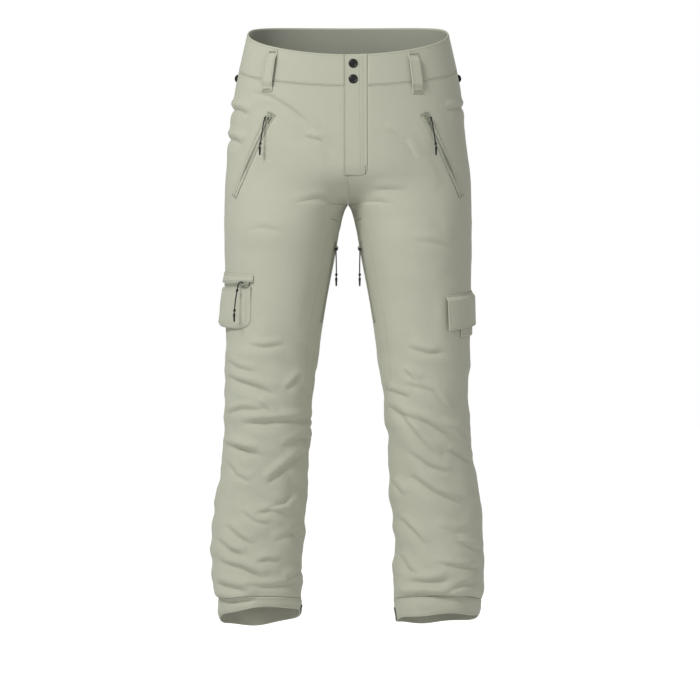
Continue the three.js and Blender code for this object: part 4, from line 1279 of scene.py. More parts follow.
@dataclass
class CordPull:
    """A braided cord through a slider's arch, with knots and a moulded end.

    The route is in millimetres to the side, away from the body and up, from the middle of the arch.
    """

    name: str
    body: str
    start: Array
    sideways: Array
    away: Array
    route: tuple[tuple[float, float, float], ...]
    knots: tuple[float, ...] = (0.3, 0.93)
    radius: float = 0.0011
    end_length: float = 0.015
    end_radius: float = 0.0022

    def points(self) -> Array:
        """The cord's centreline, close enough to have its length."""
        up = np.array([0.0, 0.0, 1.0])
        corners = np.array(
            [self.start + MM * (self.sideways * a + self.away * b + up * c) for a, b, c in self.route]
        )
        first, last = 2 * corners[0] - corners[1], 2 * corners[-1] - corners[-2]
        p = np.vstack([first, corners, last])
        made = []
        for i in range(1, len(p) - 2):
            gaps = np.linalg.norm(np.diff(p[i - 1 : i + 3], axis=0), axis=1) ** 0.5
            t0, t1, t2, t3 = np.concatenate([[0], np.cumsum(gaps)])
            t = np.linspace(t1, t2, 12, endpoint=i == len(p) - 3)[:, None]
            a1 = (t1 - t) / (t1 - t0) * p[i - 1] + (t - t0) / (t1 - t0) * p[i]
            a2 = (t2 - t) / (t2 - t1) * p[i] + (t - t1) / (t2 - t1) * p[i + 1]
            a3 = (t3 - t) / (t3 - t2) * p[i + 1] + (t - t2) / (t3 - t2) * p[i + 2]
            b1 = (t2 - t) / (t2 - t0) * a1 + (t - t0) / (t2 - t0) * a2
            b2 = (t3 - t) / (t3 - t1) * a2 + (t - t1) / (t3 - t1) * a3
            made.append((t2 - t) / (t2 - t1) * b1 + (t - t1) / (t2 - t1) * b2)
        return np.vstack(made)

    def tube(
        self, name: str, line: Array, radius: float, swell: float = 0.05, closed: bool = False
    ) -> bpy.types.Object:
        """A braided tube along a line: two sets of strands that wind both ways raise its surface."""
        gaps = np.linalg.norm(np.diff(line, axis=0), axis=1)
        far = np.concatenate([[0], np.cumsum(gaps)])
        count = max(int(far[-1] / 0.00045), 24)
        t = np.linspace(0, far[-1], count)
        centre = np.stack([np.interp(t, far, line[:, k]) for k in range(3)], -1)
        if closed:
            centre = centre[:-1]
        tangent = unit(np.gradient(centre, axis=0))
        if closed:
            tangent = unit(np.roll(centre, -1, 0) - np.roll(centre, 1, 0))
        side = np.zeros_like(centre)
        side[0] = unit(np.cross(tangent[0], [0.3, 0.2, 0.93]))
        for i in range(1, len(centre)):
            side[i] = unit(side[i - 1] - tangent[i] * (side[i - 1] @ tangent[i]))
        other = np.cross(tangent, side)
        turns = 12
        angle = np.arange(turns) * 2 * np.pi / turns
        pitch = t[: len(centre), None] * 2 * np.pi / 0.0034
        strands = np.maximum(np.cos(3 * (angle - pitch)), np.cos(3 * (angle + pitch)))
        rim = radius * (1 + swell * (strands - 0.6))
        points = centre[:, None] + rim[..., None] * (
            np.cos(angle)[None, :, None] * side[:, None] + np.sin(angle)[None, :, None] * other[:, None]
        )
        rings = len(centre)
        index = np.arange(rings * turns).reshape(rings, turns)
        after = np.roll(index, -1, 1)
        if closed:
            below, below_after = np.roll(index, -1, 0), np.roll(after, -1, 0)
            faces = np.stack([index, after, below_after, below], -1).reshape(-1, 4).tolist()
            caps = []
        else:
            faces = np.stack([index[:-1], after[:-1], after[1:], index[1:]], -1).reshape(-1, 4).tolist()
            caps = [index[0, ::-1].tolist(), index[-1].tolist()]
        mesh = bpy.data.meshes.new(name)
        mesh.from_pydata(points.reshape(-1, 3).tolist(), [], faces + caps)
        mesh.shade_smooth()
        made = bpy.data.objects.new(name, mesh)
        bpy.context.scene.collection.objects.link(made)
        return made

    def knot(self, name: str, line: Array, share: float) -> bpy.types.Object:
        """An overhand knot drawn tight round the cord."""
        i = int(share * (len(line) - 2))
        way = unit(line[i + 1] - line[i])
        side = unit(np.cross(way, [0.2, 0.9, 0.1]))
        other = np.cross(way, side)
        a = np.linspace(0, 2 * np.pi, 61)
        out = self.radius * (1.15 + 0.25 * np.cos(3 * a))
        loop = line[i] + out[:, None] * (np.cos(2 * a)[:, None] * side + np.sin(2 * a)[:, None] * other)
        loop = loop + way * (self.radius * 1.25 * np.sin(3 * a))[:, None]
        return self.tube(name, loop, self.radius * 0.85, closed=True)

    def tip(self, name: str, top: Array) -> bpy.types.Object:
        """The moulded end: a collar, a bead and a tapered tip with fine ribs."""
        r, length = self.end_radius, self.end_length
        profile = [(0.0, 0.0), (0.62, 0.0), (0.78, -0.03), (0.98, -0.09), (1.0, -0.2), (0.98, -0.29)]
        profile.append((0.84, -0.36))
        for k in range(5):
            low = -0.4 - 0.1 * k
            profile += [(0.80 - 0.03 * k, low), (0.84 - 0.03 * k, low - 0.03), (0.80 - 0.03 * k, low - 0.06)]
        profile += [(0.62, -0.93), (0.56, -0.985), (0.45, -1.0), (0.0, -1.0)]
        return lathe(name, [(a * r, b * length) for a, b in profile], top, np.array([0, 0, 1.0]), 24)

    def build(self) -> None:
        """Builds the cord, its knots and its end."""
        line = self.points()
        suffix = self.name.split("_cord")
        end_node = f"{suffix[0]}_cord_end{suffix[1]}"
        cord = dress(self.tube(f"{self.name}_braid", line, self.radius), CORD_BRAID, self.body, [self.name])
        knots = [
            dress(self.knot(f"{self.name}_knot_{i + 1}", line, share), CORD_BRAID, self.body)
            for i, share in enumerate(self.knots)
        ]
        tip = self.tip(f"{end_node}_tip", line[-1] + np.array([0, 0, 0.0006]))
        dress(tip, MOULDED, self.body, [end_node])


def lathe(
    name: str, profile: Sequence[tuple[float, float]], origin: Array, axis: Array, segments: int
) -> bpy.types.Object:
    """A turned piece.

    Args:
        name: The piece's name.
        profile: (radius, height) pairs from one pole to the other.
        origin: The axis's zero point.
        axis: The axis's direction.
        segments: Steps round it.
    Returns:
        The piece, closed at both poles.
    """
    axis = unit(np.asarray(axis, float))
    side = unit(np.cross(axis, [0.93, 0.21, 0.3]))
    other = np.cross(axis, side)
    angle = np.arange(segments) * 2 * np.pi / segments
    spokes = np.cos(angle)[:, None] * side + np.sin(angle)[:, None] * other
    points = [origin + axis * profile[0][1]]
    for radius, high in profile[1:-1]:
        points += list(origin + axis * high + spokes * radius)
    points.append(origin + axis * profile[-1][1])
    rings = len(profile) - 2
    faces: list[list[int]] = []
    for k in range(segments):
        after = (k + 1) % segments
        faces.append([0, 1 + k, 1 + after])
        for j in range(rings - 1):
            low = 1 + j * segments
            faces.append([low + k, low + segments + k, low + segments + after, low + after])
        low = 1 + (rings - 1) * segments
        faces.append([low + k, len(points) - 1, low + after])
    mesh = bpy.data.meshes.new(name)
    mesh.from_pydata([tuple(p) for p in points], [], faces)
    corners = np.array([p for p in points])
    total = 0.0
    for face in faces:
        a, b, c = corners[face[0]], corners[face[1]], corners[face[2]]
        total += float(np.dot(a - corners[0], np.cross(b - corners[0], c - corners[0])))
        if len(face) == 4:
            d = corners[face[3]]
            total += float(np.dot(a - corners[0], np.cross(c - corners[0], d - corners[0])))
    if total < 0:
        mesh.flip_normals()
    mesh.shade_smooth()
    made = bpy.data.objects.new(name, mesh)
    bpy.context.scene.collection.objects.link(made)
    return made


# ---------------------------------------------------------------- the sub-assemblies


@dataclass
class ShellPanels:
    """The four panels of insulated shell cloth, with the openings that the fly and zips need."""

    columns: int = 104
    seam: float = 0.0008
    thick: float = 0.002
    fly_left: float = 0.0343
    fly_right: float = 0.0063
    fly_bottom: float = -0.2323
    fly_corner: float = 0.014
    zips: tuple[Zip, ...] = ()

    overlap: float = 0.0002
    hip_share: float = 0.19
    sweep_share: float = 0.13

    def height_of(self, s: Array, v: Array) -> Array:
        """Height of the panel's cloth at s and a share v of the way down."""
        sweep_top = FORM.crotch + lerp(FORM.sweep_front, FORM.sweep_back, (s + 1) / 2)
        top = WAIST_SEAM.at(-np.sin(s * np.pi / 2))
        foot = HEM_SEAM.at(np.sin(-s * np.pi))
        a, b = self.hip_share, self.hip_share + self.sweep_share
        hips = lerp(top, sweep_top, v / a)
        turned = lerp(sweep_top, FORM.crotch, np.sin(np.clip((v - a) / (b - a), 0, 1) * np.pi / 2))
        legs = lerp(FORM.crotch, foot, (v - b) / (1 - b))
        return np.where(v < a, hips, np.where(v < b, turned, legs))

    def fly_edge(self, side: int, z: Array) -> Array:
        """How far from the centre the front panel starts at a height, for the fly's flap."""
        if side < 0:
            return np.where(z > self.fly_bottom, self.fly_right, 0)
        corner = np.clip((self.fly_bottom + self.fly_corner - z) / self.fly_corner, 0, 1)
        curved = self.fly_left - self.fly_corner * (1 - np.sqrt(np.maximum(1 - corner**2, 0)))
        return np.where(z > self.fly_bottom, curved, 0)

    def closed(self, side: int, s: Array, z: Array, centre: float) -> tuple[Array, Array]:
        """Points of the draped cloth, whose two sides meet at the centre seams above the crotch."""
        points, normals = DRAPE.skin(side, s, z)
        seam, _ = DRAPE.skin(side, np.full(s.shape, centre), z)
        near = 1 - smoothstep(np.abs(s - centre), 0, 0.05)
        above = smoothstep(z, FORM.crotch - 0.002, FORM.crotch + 0.006)
        points = np.array(points)
        points[..., 0] -= near * above * (seam[..., 0] + side * self.overlap)
        return points, normals

    def layer(self, side: int, back: bool) -> Layer:
        """One panel as a layer of cloth."""
        word = "left" if side > 0 else "right"

        def place(u: Array, v: Array) -> tuple[Array, Array]:
            """Points of the panel on the draped form."""
            if back:
                s = lerp(self.seam, 1, u)
            else:
                z = self.height_of(np.full(v.shape, -0.95), v)
                edge = self.fly_edge(side, z)
                start = np.where(edge > 0, FORM.turn_at_x(edge, z), -1)
                s = lerp(start, -self.seam, u)
            return self.closed(side, s, self.height_of(s, v), 1.0 if back else -1.0)

        def top(u: Array, v: Array) -> Array:
            """The outer face: let in under the zips."""
            points, _ = place(u, v)
            return sum((z.groove(points) for z in self.zips if z.name.endswith(word)), np.zeros(u.shape))

        def bottom(u: Array, v: Array) -> Array:
            """The inner face, a thickness below."""
            return top(u, v) - self.thick

        name = f"{'back' if back else 'front'}_panel_{word}"
        a, b = self.hip_share, self.hip_share + self.sweep_share
        q = (FORM.crotch + FORM.sweep_front - self.fly_bottom) / FORM.sweep_front
        at = a + (b - a) * math.asin(q) / (math.pi / 2)
        exact = () if back else tuple(at + d for d in (-0.006, -0.003, -0.0012, -0.0002, 0.0002, 0.0012))
        return Layer(f"{name}_cloth", place, self.columns, 380, top, bottom, 0.0022, exact_rows=exact)

    def build(self) -> None:
        """Builds the panels and the stitching along their seams."""
        for word, side in SIDES:
            for back in (False, True):
                layer = self.layer(side, back)
                name = layer.name.replace("_cloth", "")
                piece = dress(layer.build(), SHELL_CLOTH, "pants", [name])
                if back:
                    NEEDLE.sew(layer.border(Edge.START, 0.0025))
                    line = layer.border(Edge.END, 0.003)
                    seat = line[0][:, 2] > FORM.crotch + 0.02
                    NEEDLE.sew((line[0][seat], line[1][seat]))
                NEEDLE.sew(layer.border(Edge.TOP, 0.0025))
        inner_leg = ((24, -312), (33, -327), (41, -364), (52, -420), (63, -474), (70, -530), (74, -586))
        for side in (1, -1):
            NEEDLE.on_front([(side * x * MM, z * MM) for x, z in inner_leg])
        for tack in (((66, -597), (66, -603)), ((-60, -599), (-60, -605)), ((24, -305), (16, -308)),
                     ((-30, -305), (-20, -309))):  # fmt: skip
            NEEDLE.on_front([(x * MM, z * MM) for x, z in tack], tack=True)
        for sign in (1, -1):
            yoke = ((148, -58), (120, -82), (80, -101), (40, -111), (6, -114))
            line = np.array(yoke, float) * MM
            t = np.linspace(0, 1, 160)
            x = np.interp(t, np.linspace(0, 1, len(line)), line[:, 0])
            z = np.interp(t, np.linspace(0, 1, len(line)), line[:, 1])
            s = FORM.turn_at(1, z, np.stack([x, 0 * x], -1), np.array([1.0, 0.0]), 0.0, 1.0)
            NEEDLE.sew(DRAPE.skin(sign, s, z))


@dataclass
class Waistband:
    """The waistband's two fronts and its back, with its lining; the underlap behind the snaps is built with
    the fly.
    """

    thick: float = 0.0024
    lining: float = 0.0008
    inner_gap: float = 0.0011
    side_join: float = 84.0
    fly_left: float = 0.0343
    fly_right: float = -0.0063

    def front(self, word: str, x: float, side: float) -> Layer:
        """A front half, from the fly's edge to the side join."""
        foot = WAIST_SEAM.shifted(0.0003)

        def place(u: Array, v: Array) -> tuple[Array, Array]:
            """Points of the band on the hips."""
            start = self.angle_at(x, np.full(v.shape, WAIST_SEAM.front))
            about = np.radians(lerp(start, side, u))
            z = lerp(WAIST_TOP.at(np.cos(about)), foot.at(np.cos(about)), v)
            return DRAPE.on_hips(lerp(self.angle_at(x, z), side, u), z)

        return Layer(f"waistband_{word}_cloth", place, 60, 22, 0.0004, -self.thick, 0.0024)

    @staticmethod
    def angle_at(x: float, z: Array) -> Array:
        """The angle round the hips where the front is x to the side."""
        return math.copysign(1, x) * (FORM.turn_at_x(abs(x), z) + 1) * 90

    def ring(
        self, name: str, low: float, high: float, shift: float, top: float, bottom: float, columns: int
    ) -> Layer:
        """Part of a ring round the hips between two angles."""
        upper, lower = WAIST_TOP.shifted(-shift), WAIST_SEAM.shifted(0.0003 + shift)

        def place(u: Array, v: Array) -> tuple[Array, Array]:
            """Points of the ring on the hips."""
            angle = lerp(low, high, u)
            facing = np.cos(np.radians(angle))
            return DRAPE.on_hips(angle, lerp(upper.at(facing), lower.at(facing), v))

        return Layer(name, place, columns, 22, top, bottom, min(0.0024, top - bottom))

    def build(self) -> None:
        """Builds the band, its lining and its topstitching."""
        fronts = (("left", self.fly_left, self.side_join), ("right", self.fly_right, -self.side_join))
        for word, x, side in fronts:
            layer = self.front(word, x, side)
            piece = dress(layer.build(), SHELL_CLOTH, "pants", [f"waistband_{word}"])
            layer.flat_size()
            NEEDLE.sew(layer.border(Edge.TOP, 0.003))
            NEEDLE.sew(layer.border(Edge.BOTTOM, 0.0028))
        join = self.side_join + 0.1
        back = self.ring("waistband_back_cloth", join, 360 - join, 0, 0.0004, -self.thick, 150)
        piece = dress(back.build(), SHELL_CLOTH, "pants", ["waistband_back"])
        back.flat_size()
        NEEDLE.sew(back.border(Edge.TOP, 0.003))
        NEEDLE.sew(back.border(Edge.BOTTOM, 0.0028))
        NEEDLE.sew(back.border(Edge.START, 0.002))
        NEEDLE.sew(back.border(Edge.END, 0.002))
        depth = self.thick + self.inner_gap
        lining = self.ring("waistband_lining_cloth", 36, 324, 0.002, -depth, -depth - self.lining, 150)
        piece = dress(lining.build(), LINING_CLOTH, "pants", ["waistband_lining"])
        lining.flat_size()


@dataclass
class Hems:
    """The hem bands, the scuff patches inside the ankles and the gaiters that close over the boots."""

    thick: float = 0.0024
    gap: float = 0.0003
    kick_from: float = 168.0
    kick_to: float = 238.0
    kick_top: float = -0.974
    kick_thick: float = 0.001
    gaiter_top: float = -0.884
    gaiter_bottom: float = -0.984
    gaiter_depth: float = 0.015
    gaiter_thick: float = 0.0012
    ripple: float = 0.0013
    # How far each edge is lifted: all round, then more at its outer side, then more at its front.
    right_lift: tuple[float, float, float] = (0.0, -0.006, 0.006)
    left_lift: tuple[float, float, float] = (-0.004, 0.004, -0.002)

    def ring(
        self, name: str, side: int, top: Level, bottom: Level, angles: tuple[float, float],
        faces: tuple[float, float], grid: tuple[int, int],
    ) -> Layer:  # fmt: skip
        """A band round one ankle between two angles and two levels."""

        def place(u: Array, v: Array) -> tuple[Array, Array]:
            """Points of the band on the leg."""
            angle = lerp(angles[0], angles[1], u)
            facing = np.sin(np.radians(angle))
            z = lerp(top.at(facing), bottom.at(facing), v)
            turned = np.radians(angle)
            ripple = self.ripple * np.sin(5 * turned + 0.6 + side)
            all_round, outer, front = self.right_lift if side < 0 else self.left_lift
            lift = all_round + outer * np.cos(turned) + front * np.sin(turned)
            seam, edge = HEM_SEAM.at(facing), HEM_EDGE.at(facing)
            share = smoothstep((seam - z) / (seam - edge), 0.1, 1.0)
            return DRAPE.on_leg(side, angle, z + (lift + ripple) * share)

        whole = angles == (0.0, 360.0)
        return Layer(name, place, grid[0], grid[1], faces[0], faces[1], 0.0016 if whole else 0.0006, whole)

    def gaiter(self, name: str, side: int) -> Layer:
        """The elasticated inner cuff, gathered in towards the boot."""

        def place(u: Array, v: Array) -> tuple[Array, Array]:
            """Points of the leg's inside."""
            return DRAPE.on_leg(side, u * 360, lerp(self.gaiter_top, self.gaiter_bottom, v))

        def top(u: Array, v: Array) -> Array:
            """The cuff's outer face: sewn in at its top, gathered in small pleats at its foot."""
            drop = lerp(0.0031, self.gaiter_depth, np.minimum(1, v * 3))
            pleats = 0.0011 * np.sin(u * 2 * np.pi * 46) * smoothstep(v, 0.35, 0.95)
            return -drop - 0.0012 * smoothstep(v, 0.3, 0.6) + pleats

        def bottom(u: Array, v: Array) -> Array:
            """The cuff's inner face."""
            return top(u, v) - self.gaiter_thick

        return Layer(name, place, 368, 34, top, bottom, 0.0008, True)

    def build(self) -> None:
        """Builds both ankles."""
        for word, side in SIDES:
            band = self.ring(
                f"hem_band_{word}_cloth", side, HEM_SEAM.shifted(-2 * self.gap), HEM_EDGE, (0.0, 360.0),
                (0.0004, -self.thick), (190, 12),
            )  # fmt: skip
            piece = dress(band.build(), SHELL_CLOTH, "pants", [f"hem_band_{word}"])
            band.flat_size()
            NEEDLE.sew(band.border(Edge.TOP, 0.003))
            NEEDLE.sew(band.border(Edge.BOTTOM, 0.004))
            top = Level(self.kick_top, self.kick_top - 0.008, self.kick_top - 0.008)
            patch = self.ring(
                f"kick_patch_{word}_cloth", side, top, HEM_EDGE.shifted(0.001),
                (self.kick_from, self.kick_to),
                (self.gap + self.kick_thick + 0.0004, self.gap + 0.0002), (60, 16),
            )  # fmt: skip
            piece = dress(patch.build(), SCUFF_PATCH, "pants", [f"kick_patch_{word}"])
            patch.flat_size()
            for edge in Edge:
                NEEDLE.sew(patch.border(edge, 0.002))
            gaiter = self.gaiter(f"boot_gaiter_{word}_cloth", side)
            piece = dress(gaiter.build(), LINING_CLOTH, "pants", [f"boot_gaiter_{word}"])
            gaiter.flat_size()


@dataclass
class Fly:
    """The fly: its flap with the waistband's tab, the shield behind the zip, the zip and the snaps."""

    left: float = 0.034
    right: float = -0.006
    bottom: float = -0.232
    corner: float = 0.014
    band: float = 0.0024
    placket: float = 0.0018
    snap_x: float = 0.009
    snap_heights: tuple[float, float] = (-0.037, -0.064)

    def front(self, x: Array, z: Array) -> tuple[Array, Array]:
        """Points of the front at x, with normals that keep x."""
        x, z = np.broadcast_arrays(x, z)
        points, normals = DRAPE.on_front(np.where(np.abs(x) < 1e-6, 1e-6, x), z)
        points = points.copy()
        points[..., 0] = x
        normals = normals.copy()
        normals[..., 0] = 0
        return points, unit(normals)

    def flap(self) -> Layer:
        """The flap, with its lower corner rounded."""

        def place(u: Array, v: Array) -> tuple[Array, Array]:
            """Points of the flap on the front."""
            across = u * (self.left - self.right) / self.corner
            arc = self.corner * (1 - np.sqrt(np.maximum(1 - (1 - across) ** 2, 0)))
            foot = self.bottom + np.where(u < self.corner / (self.left - self.right), arc, 0)
            x = lerp(self.left - 0.0003, self.right, u)
            top = WAIST_TOP.at(np.cos(np.abs(x) / 0.16))
            return self.front(x, lerp(top, foot, v))

        def top(u: Array, v: Array) -> Array:
            """The outer face, at one small height over the front."""
            return 0.0003 + 0 * u

        def bottom(u: Array, v: Array) -> Array:
            """The inner face: thicker where the waistband's tab is."""
            return -lerp(self.band, self.placket, smoothstep(v, 0.2, 0.3))

        return Layer("fly_flap_cloth", place, 22, 120, top, bottom, 0.0018)

    def behind(
        self, name: str, stops: Sequence[tuple[float, float, float]], top: float, bottom: float
    ) -> Layer:
        """A layer behind the front, through stops of x, the depth of its face and the depth of its back."""
        table = np.array(stops)

        def place(u: Array, v: Array) -> tuple[Array, Array]:
            """Points of the front, which the layer is set back from."""
            return self.front(lerp(table[0, 0], table[-1, 0], u), lerp(top, bottom, v))

        def depth(column: int) -> Callable[[Array, Array], Array]:
            """The height of one face."""
            return lambda u, v: -np.interp(lerp(table[0, 0], table[-1, 0], u), table[:, 0], table[:, column])

        return Layer(name, place, 58, 24, depth(1), depth(2), 0.0006)

    def build(self) -> None:
        """Builds the flap across its hinge, the pieces behind it, the zip and the snaps."""
        flap = self.flap()
        piece = dress(flap.build(), SHELL_CLOTH, "", ["fly_flap"])
        flap.flat_size()
        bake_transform(piece)
        NEEDLE.sew(flap.border(Edge.END, 0.0022), "fly_flap")
        for inset in (0.0085, 0.0145):
            NEEDLE.sew(flap.border(Edge.START, inset, ends=0.006), "fly_flap")
        underlap = self.behind(
            "waistband_underlap_cloth",
            [(-0.026, 0.0035, 0.0076), (-0.008, 0.0035, 0.0076), (-0.007, 0.0056, 0.0076),
             (0.031, 0.0056, 0.0076)],  # fmt: skip
            WAIST_TOP.front - 0.003,
            WAIST_SEAM.front + 0.002,
        )
        piece = dress(underlap.build(), SHELL_CLOTH, "pants", ["waistband_underlap"])
        underlap.flat_size()
        shield = self.behind(
            "fly_shield_cloth",
            [(-0.026, 0.0031, 0.0043), (-0.019, 0.0031, 0.0043), (-0.008, 0.0136, 0.0148),
             (0.0178, 0.0136, 0.0148), (0.0185, 0.0088, 0.010), (0.031, 0.0088, 0.010)],
            -0.082,
            -0.212,
        )  # fmt: skip
        piece = dress(shield.build(), LINING_CLOTH, "pants", ["fly_shield"])
        shield.flat_size()
        Zip("fly_zip", ZipPath.of("fly_slider_slide", "fly_pull_hinge"), 0.09).build()
        NEEDLE.on_front([(0.030, -0.214), (0.030, -0.229)], tack=True)
        for node in ("fly_slider", "fly_pull"):
            dress_solid(node, SLIDER_PAINT)
        for word, z in zip(("upper", "lower"), self.snap_heights):
            self.snap(word, z)

    def snap(self, word: str, z: float) -> None:
        """One snap: a cap with its socket on the flap, and a stud on the underlap."""
        side, s = 1, FORM.turn_at_x(self.snap_x, np.array(z))
        points, normals = FORM.skin(side, s, np.array(z))
        out = np.array(normals, float)
        out[0] = 0
        out, seat = unit(out), np.array(points, float)
        seat[0] = self.snap_x
        cap = [(0, -2.5), (2.2, -2.7), (2.2, -4.7), (2.6, -4.8), (4.8, -4.8), (5.2, -4.5), (5.2, -3.1),
               (4.9, -2.8), (3.0, -2.7), (3.0, 0.3), (7.6, 0.3), (8.0, 0.5), (8.05, 0.8), (7.8, 1.15),
               (7.2, 1.5), (6.5, 1.72), (5.9, 1.8), (5.5, 1.78), (5.3, 1.62), (5.05, 1.6), (4.8, 1.72),
               (3.6, 1.86), (1.8, 1.94),
               (0, 1.96)]  # fmt: skip
        stud = [(0, -9.1), (4.7, -9.1), (5.0, -8.85), (5.0, -8.1), (4.8, -7.95), (1.6, -7.9), (1.6, -5.3),
                (3.8, -5.3), (4.0, -5.15), (3.9, -4.95), (1.45, -4.85), (1.5, -4.5), (1.85, -4.1),
                (1.9, -3.9),
                (1.75, -3.45),
                (1.2, -3.1), (0, -3.0)]  # fmt: skip
        shape = lathe(f"snap_cap_{word}_turned", [(a * MM, b * MM) for a, b in cap], seat, out, 48)
        dress(shape, SNAP_LACQUER, "fly_flap", [f"snap_cap_{word}"])
        shape = lathe(f"snap_stud_{word}_turned", [(a * MM, b * MM) for a, b in stud], seat, out, 36)
        dress(shape, SNAP_LACQUER, "pants", [f"snap_stud_{word}"])


@dataclass
class Loops:
    """The belt loops and the small webbing loops over the side joins."""

    angles: dict[str, float] = field(
        default_factory=lambda: {
            "front_left": 36.0, "front_right": -43.0, "back_left": 142.0, "back_right": -142.0,
            "back_centre": 180.0,
        }
    )  # fmt: skip
    width: float = 0.020
    thick: float = 0.0015
    stand: float = 0.0048
    below: float = 0.020
    top: float = 0.006

    @staticmethod
    def degrees_for(length: float, angle: float) -> float:
        """How many degrees round the waist seam a length covers."""
        z = WAIST_SEAM.at(np.array(math.cos(math.radians(angle))))
        ends = [FORM.point(*hip_turn(np.array(a)), z) for a in (angle, angle + 1)]
        return length / float(np.linalg.norm(ends[1] - ends[0]))

    def loop(self, word: str, angle: float) -> Layer:
        """One belt loop, sewn down at both ends and standing off between them."""
        half = self.degrees_for(self.width / 2, angle)
        facing = math.cos(math.radians(angle))
        top = float(WAIST_TOP.at(facing)) - self.top
        bottom = float(WAIST_SEAM.at(facing)) - self.below

        def place(u: Array, v: Array) -> tuple[Array, Array]:
            """Points of the waist under the loop."""
            return DRAPE.on_hips(angle + lerp(-half, half, u), lerp(top, bottom, v))

        def under(u: Array, v: Array) -> Array:
            """Height of the loop's inner face."""
            rise = smoothstep((0.5 - np.abs(v - 0.5)) / 0.16 - 0.5, 0, 1)
            return 0.0006 + self.stand * rise

        def over(u: Array, v: Array) -> Array:
            """Height of its outer face, with turned edges fuller than its middle."""
            ridge = np.exp(-(((np.abs(u - 0.5) - 0.4) / 0.09) ** 2))
            return under(u, v) + self.thick + 0.0003 * ridge

        return Layer(f"belt_loop_{word}_cloth", place, 14, 60, over, under, 0.0013)

    def build(self) -> None:
        """Builds and stitches the loops."""
        for word, angle in self.angles.items():
            loop = self.loop(word, angle)
            piece = dress(loop.build(), SHELL_CLOTH, "pants", [f"belt_loop_{word}"])
            loop.flat_size()
            for edge in (Edge.START, Edge.END):
                NEEDLE.sew(loop.border(edge, 0.0028))
            for inset in (0.0028, 0.0045):
                NEEDLE.tack(loop.border(Edge.TOP, inset, 0.003))
                NEEDLE.tack(loop.border(Edge.BOTTOM, inset, 0.003))
        half = self.degrees_for(0.006, 90)
        for word, side in SIDES:

            def place(u: Array, v: Array, side: int = side) -> tuple[Array, Array]:
                """Points of the side under the webbing."""
                return DRAPE.on_hips(side * lerp(90 - half, 90 + half, u), -0.059 + 0.013 * (0.5 - v))

            def over(u: Array, v: Array) -> Array:
                """Height of the folded webbing, with its ribs."""
                arch = np.sqrt(np.sin(np.pi * np.clip(v, 0.02, 0.98)))
                return 0.0003 + 0.0045 * arch + 0.00015 * np.sin(u * 60)

            piece = Layer(f"side_loop_{word}_webbing", place, 40, 26, over, 0.0003, 0.0008)
            dress(piece.build(), WEBBING, "pants", [f"side_loop_{word}"])


HAND_ROUTE = (
    (0, 0, 0), (2.5, 0, 0), (4.8, 0.4, -0.7), (6, 1.6, -3), (6.2, 4, -10), (6, 7.5, -22), (5.7, 10.5, -34),
    (5.6, 12.8, -44), (5.6, 14.5, -52),
)  # fmt: skip
VENT_ROUTE = (
    (0, 0, 0), (2.5, 0, 0), (4.8, 0, -0.7), (6, 0, -3), (6.2, 0, -10), (6, 0.2, -22), (5.7, 0.3, -34),
    (5.6, 0.3, -44), (5.6, 0.2, -52),
)  # fmt: skip
CARGO_ROUTE = (
    (0, 0, 0), (0, 0.2, 2.2), (2.6, 0.8, 4), (6, 1.4, 3.6), (8.4, 2.2, 0.6), (9, 3.4, -6), (9.4, 6.4, -18),
    (9.6, 8.8, -30), (9.6, 10.6, -42), (9.6, 11.8, -51),
)  # fmt: skip


def cord_in(path: ZipPath, pull: str, body: str, name: str, route: tuple, sideways: Array) -> CordPull:
    """The cord pull that hangs in the slider at the top of a zip's path."""
    joint = next(j for j in frame["joints"] if j["name"] == pull)
    _, _, out, _ = path.at(np.array(0.0))
    away = np.array([out[0], out[1], 0.0])
    return CordPull(name, body, np.array(joint["pos_m"], float), sideways, unit(away), route)


def inside(u: Array, v: Array) -> Array:
    """Rises from 0 at a patch's edges to 1 inside it."""
    return smoothstep(np.minimum(np.minimum(u, 1 - u), np.minimum(v, 1 - v)) * 9, 0, 1)


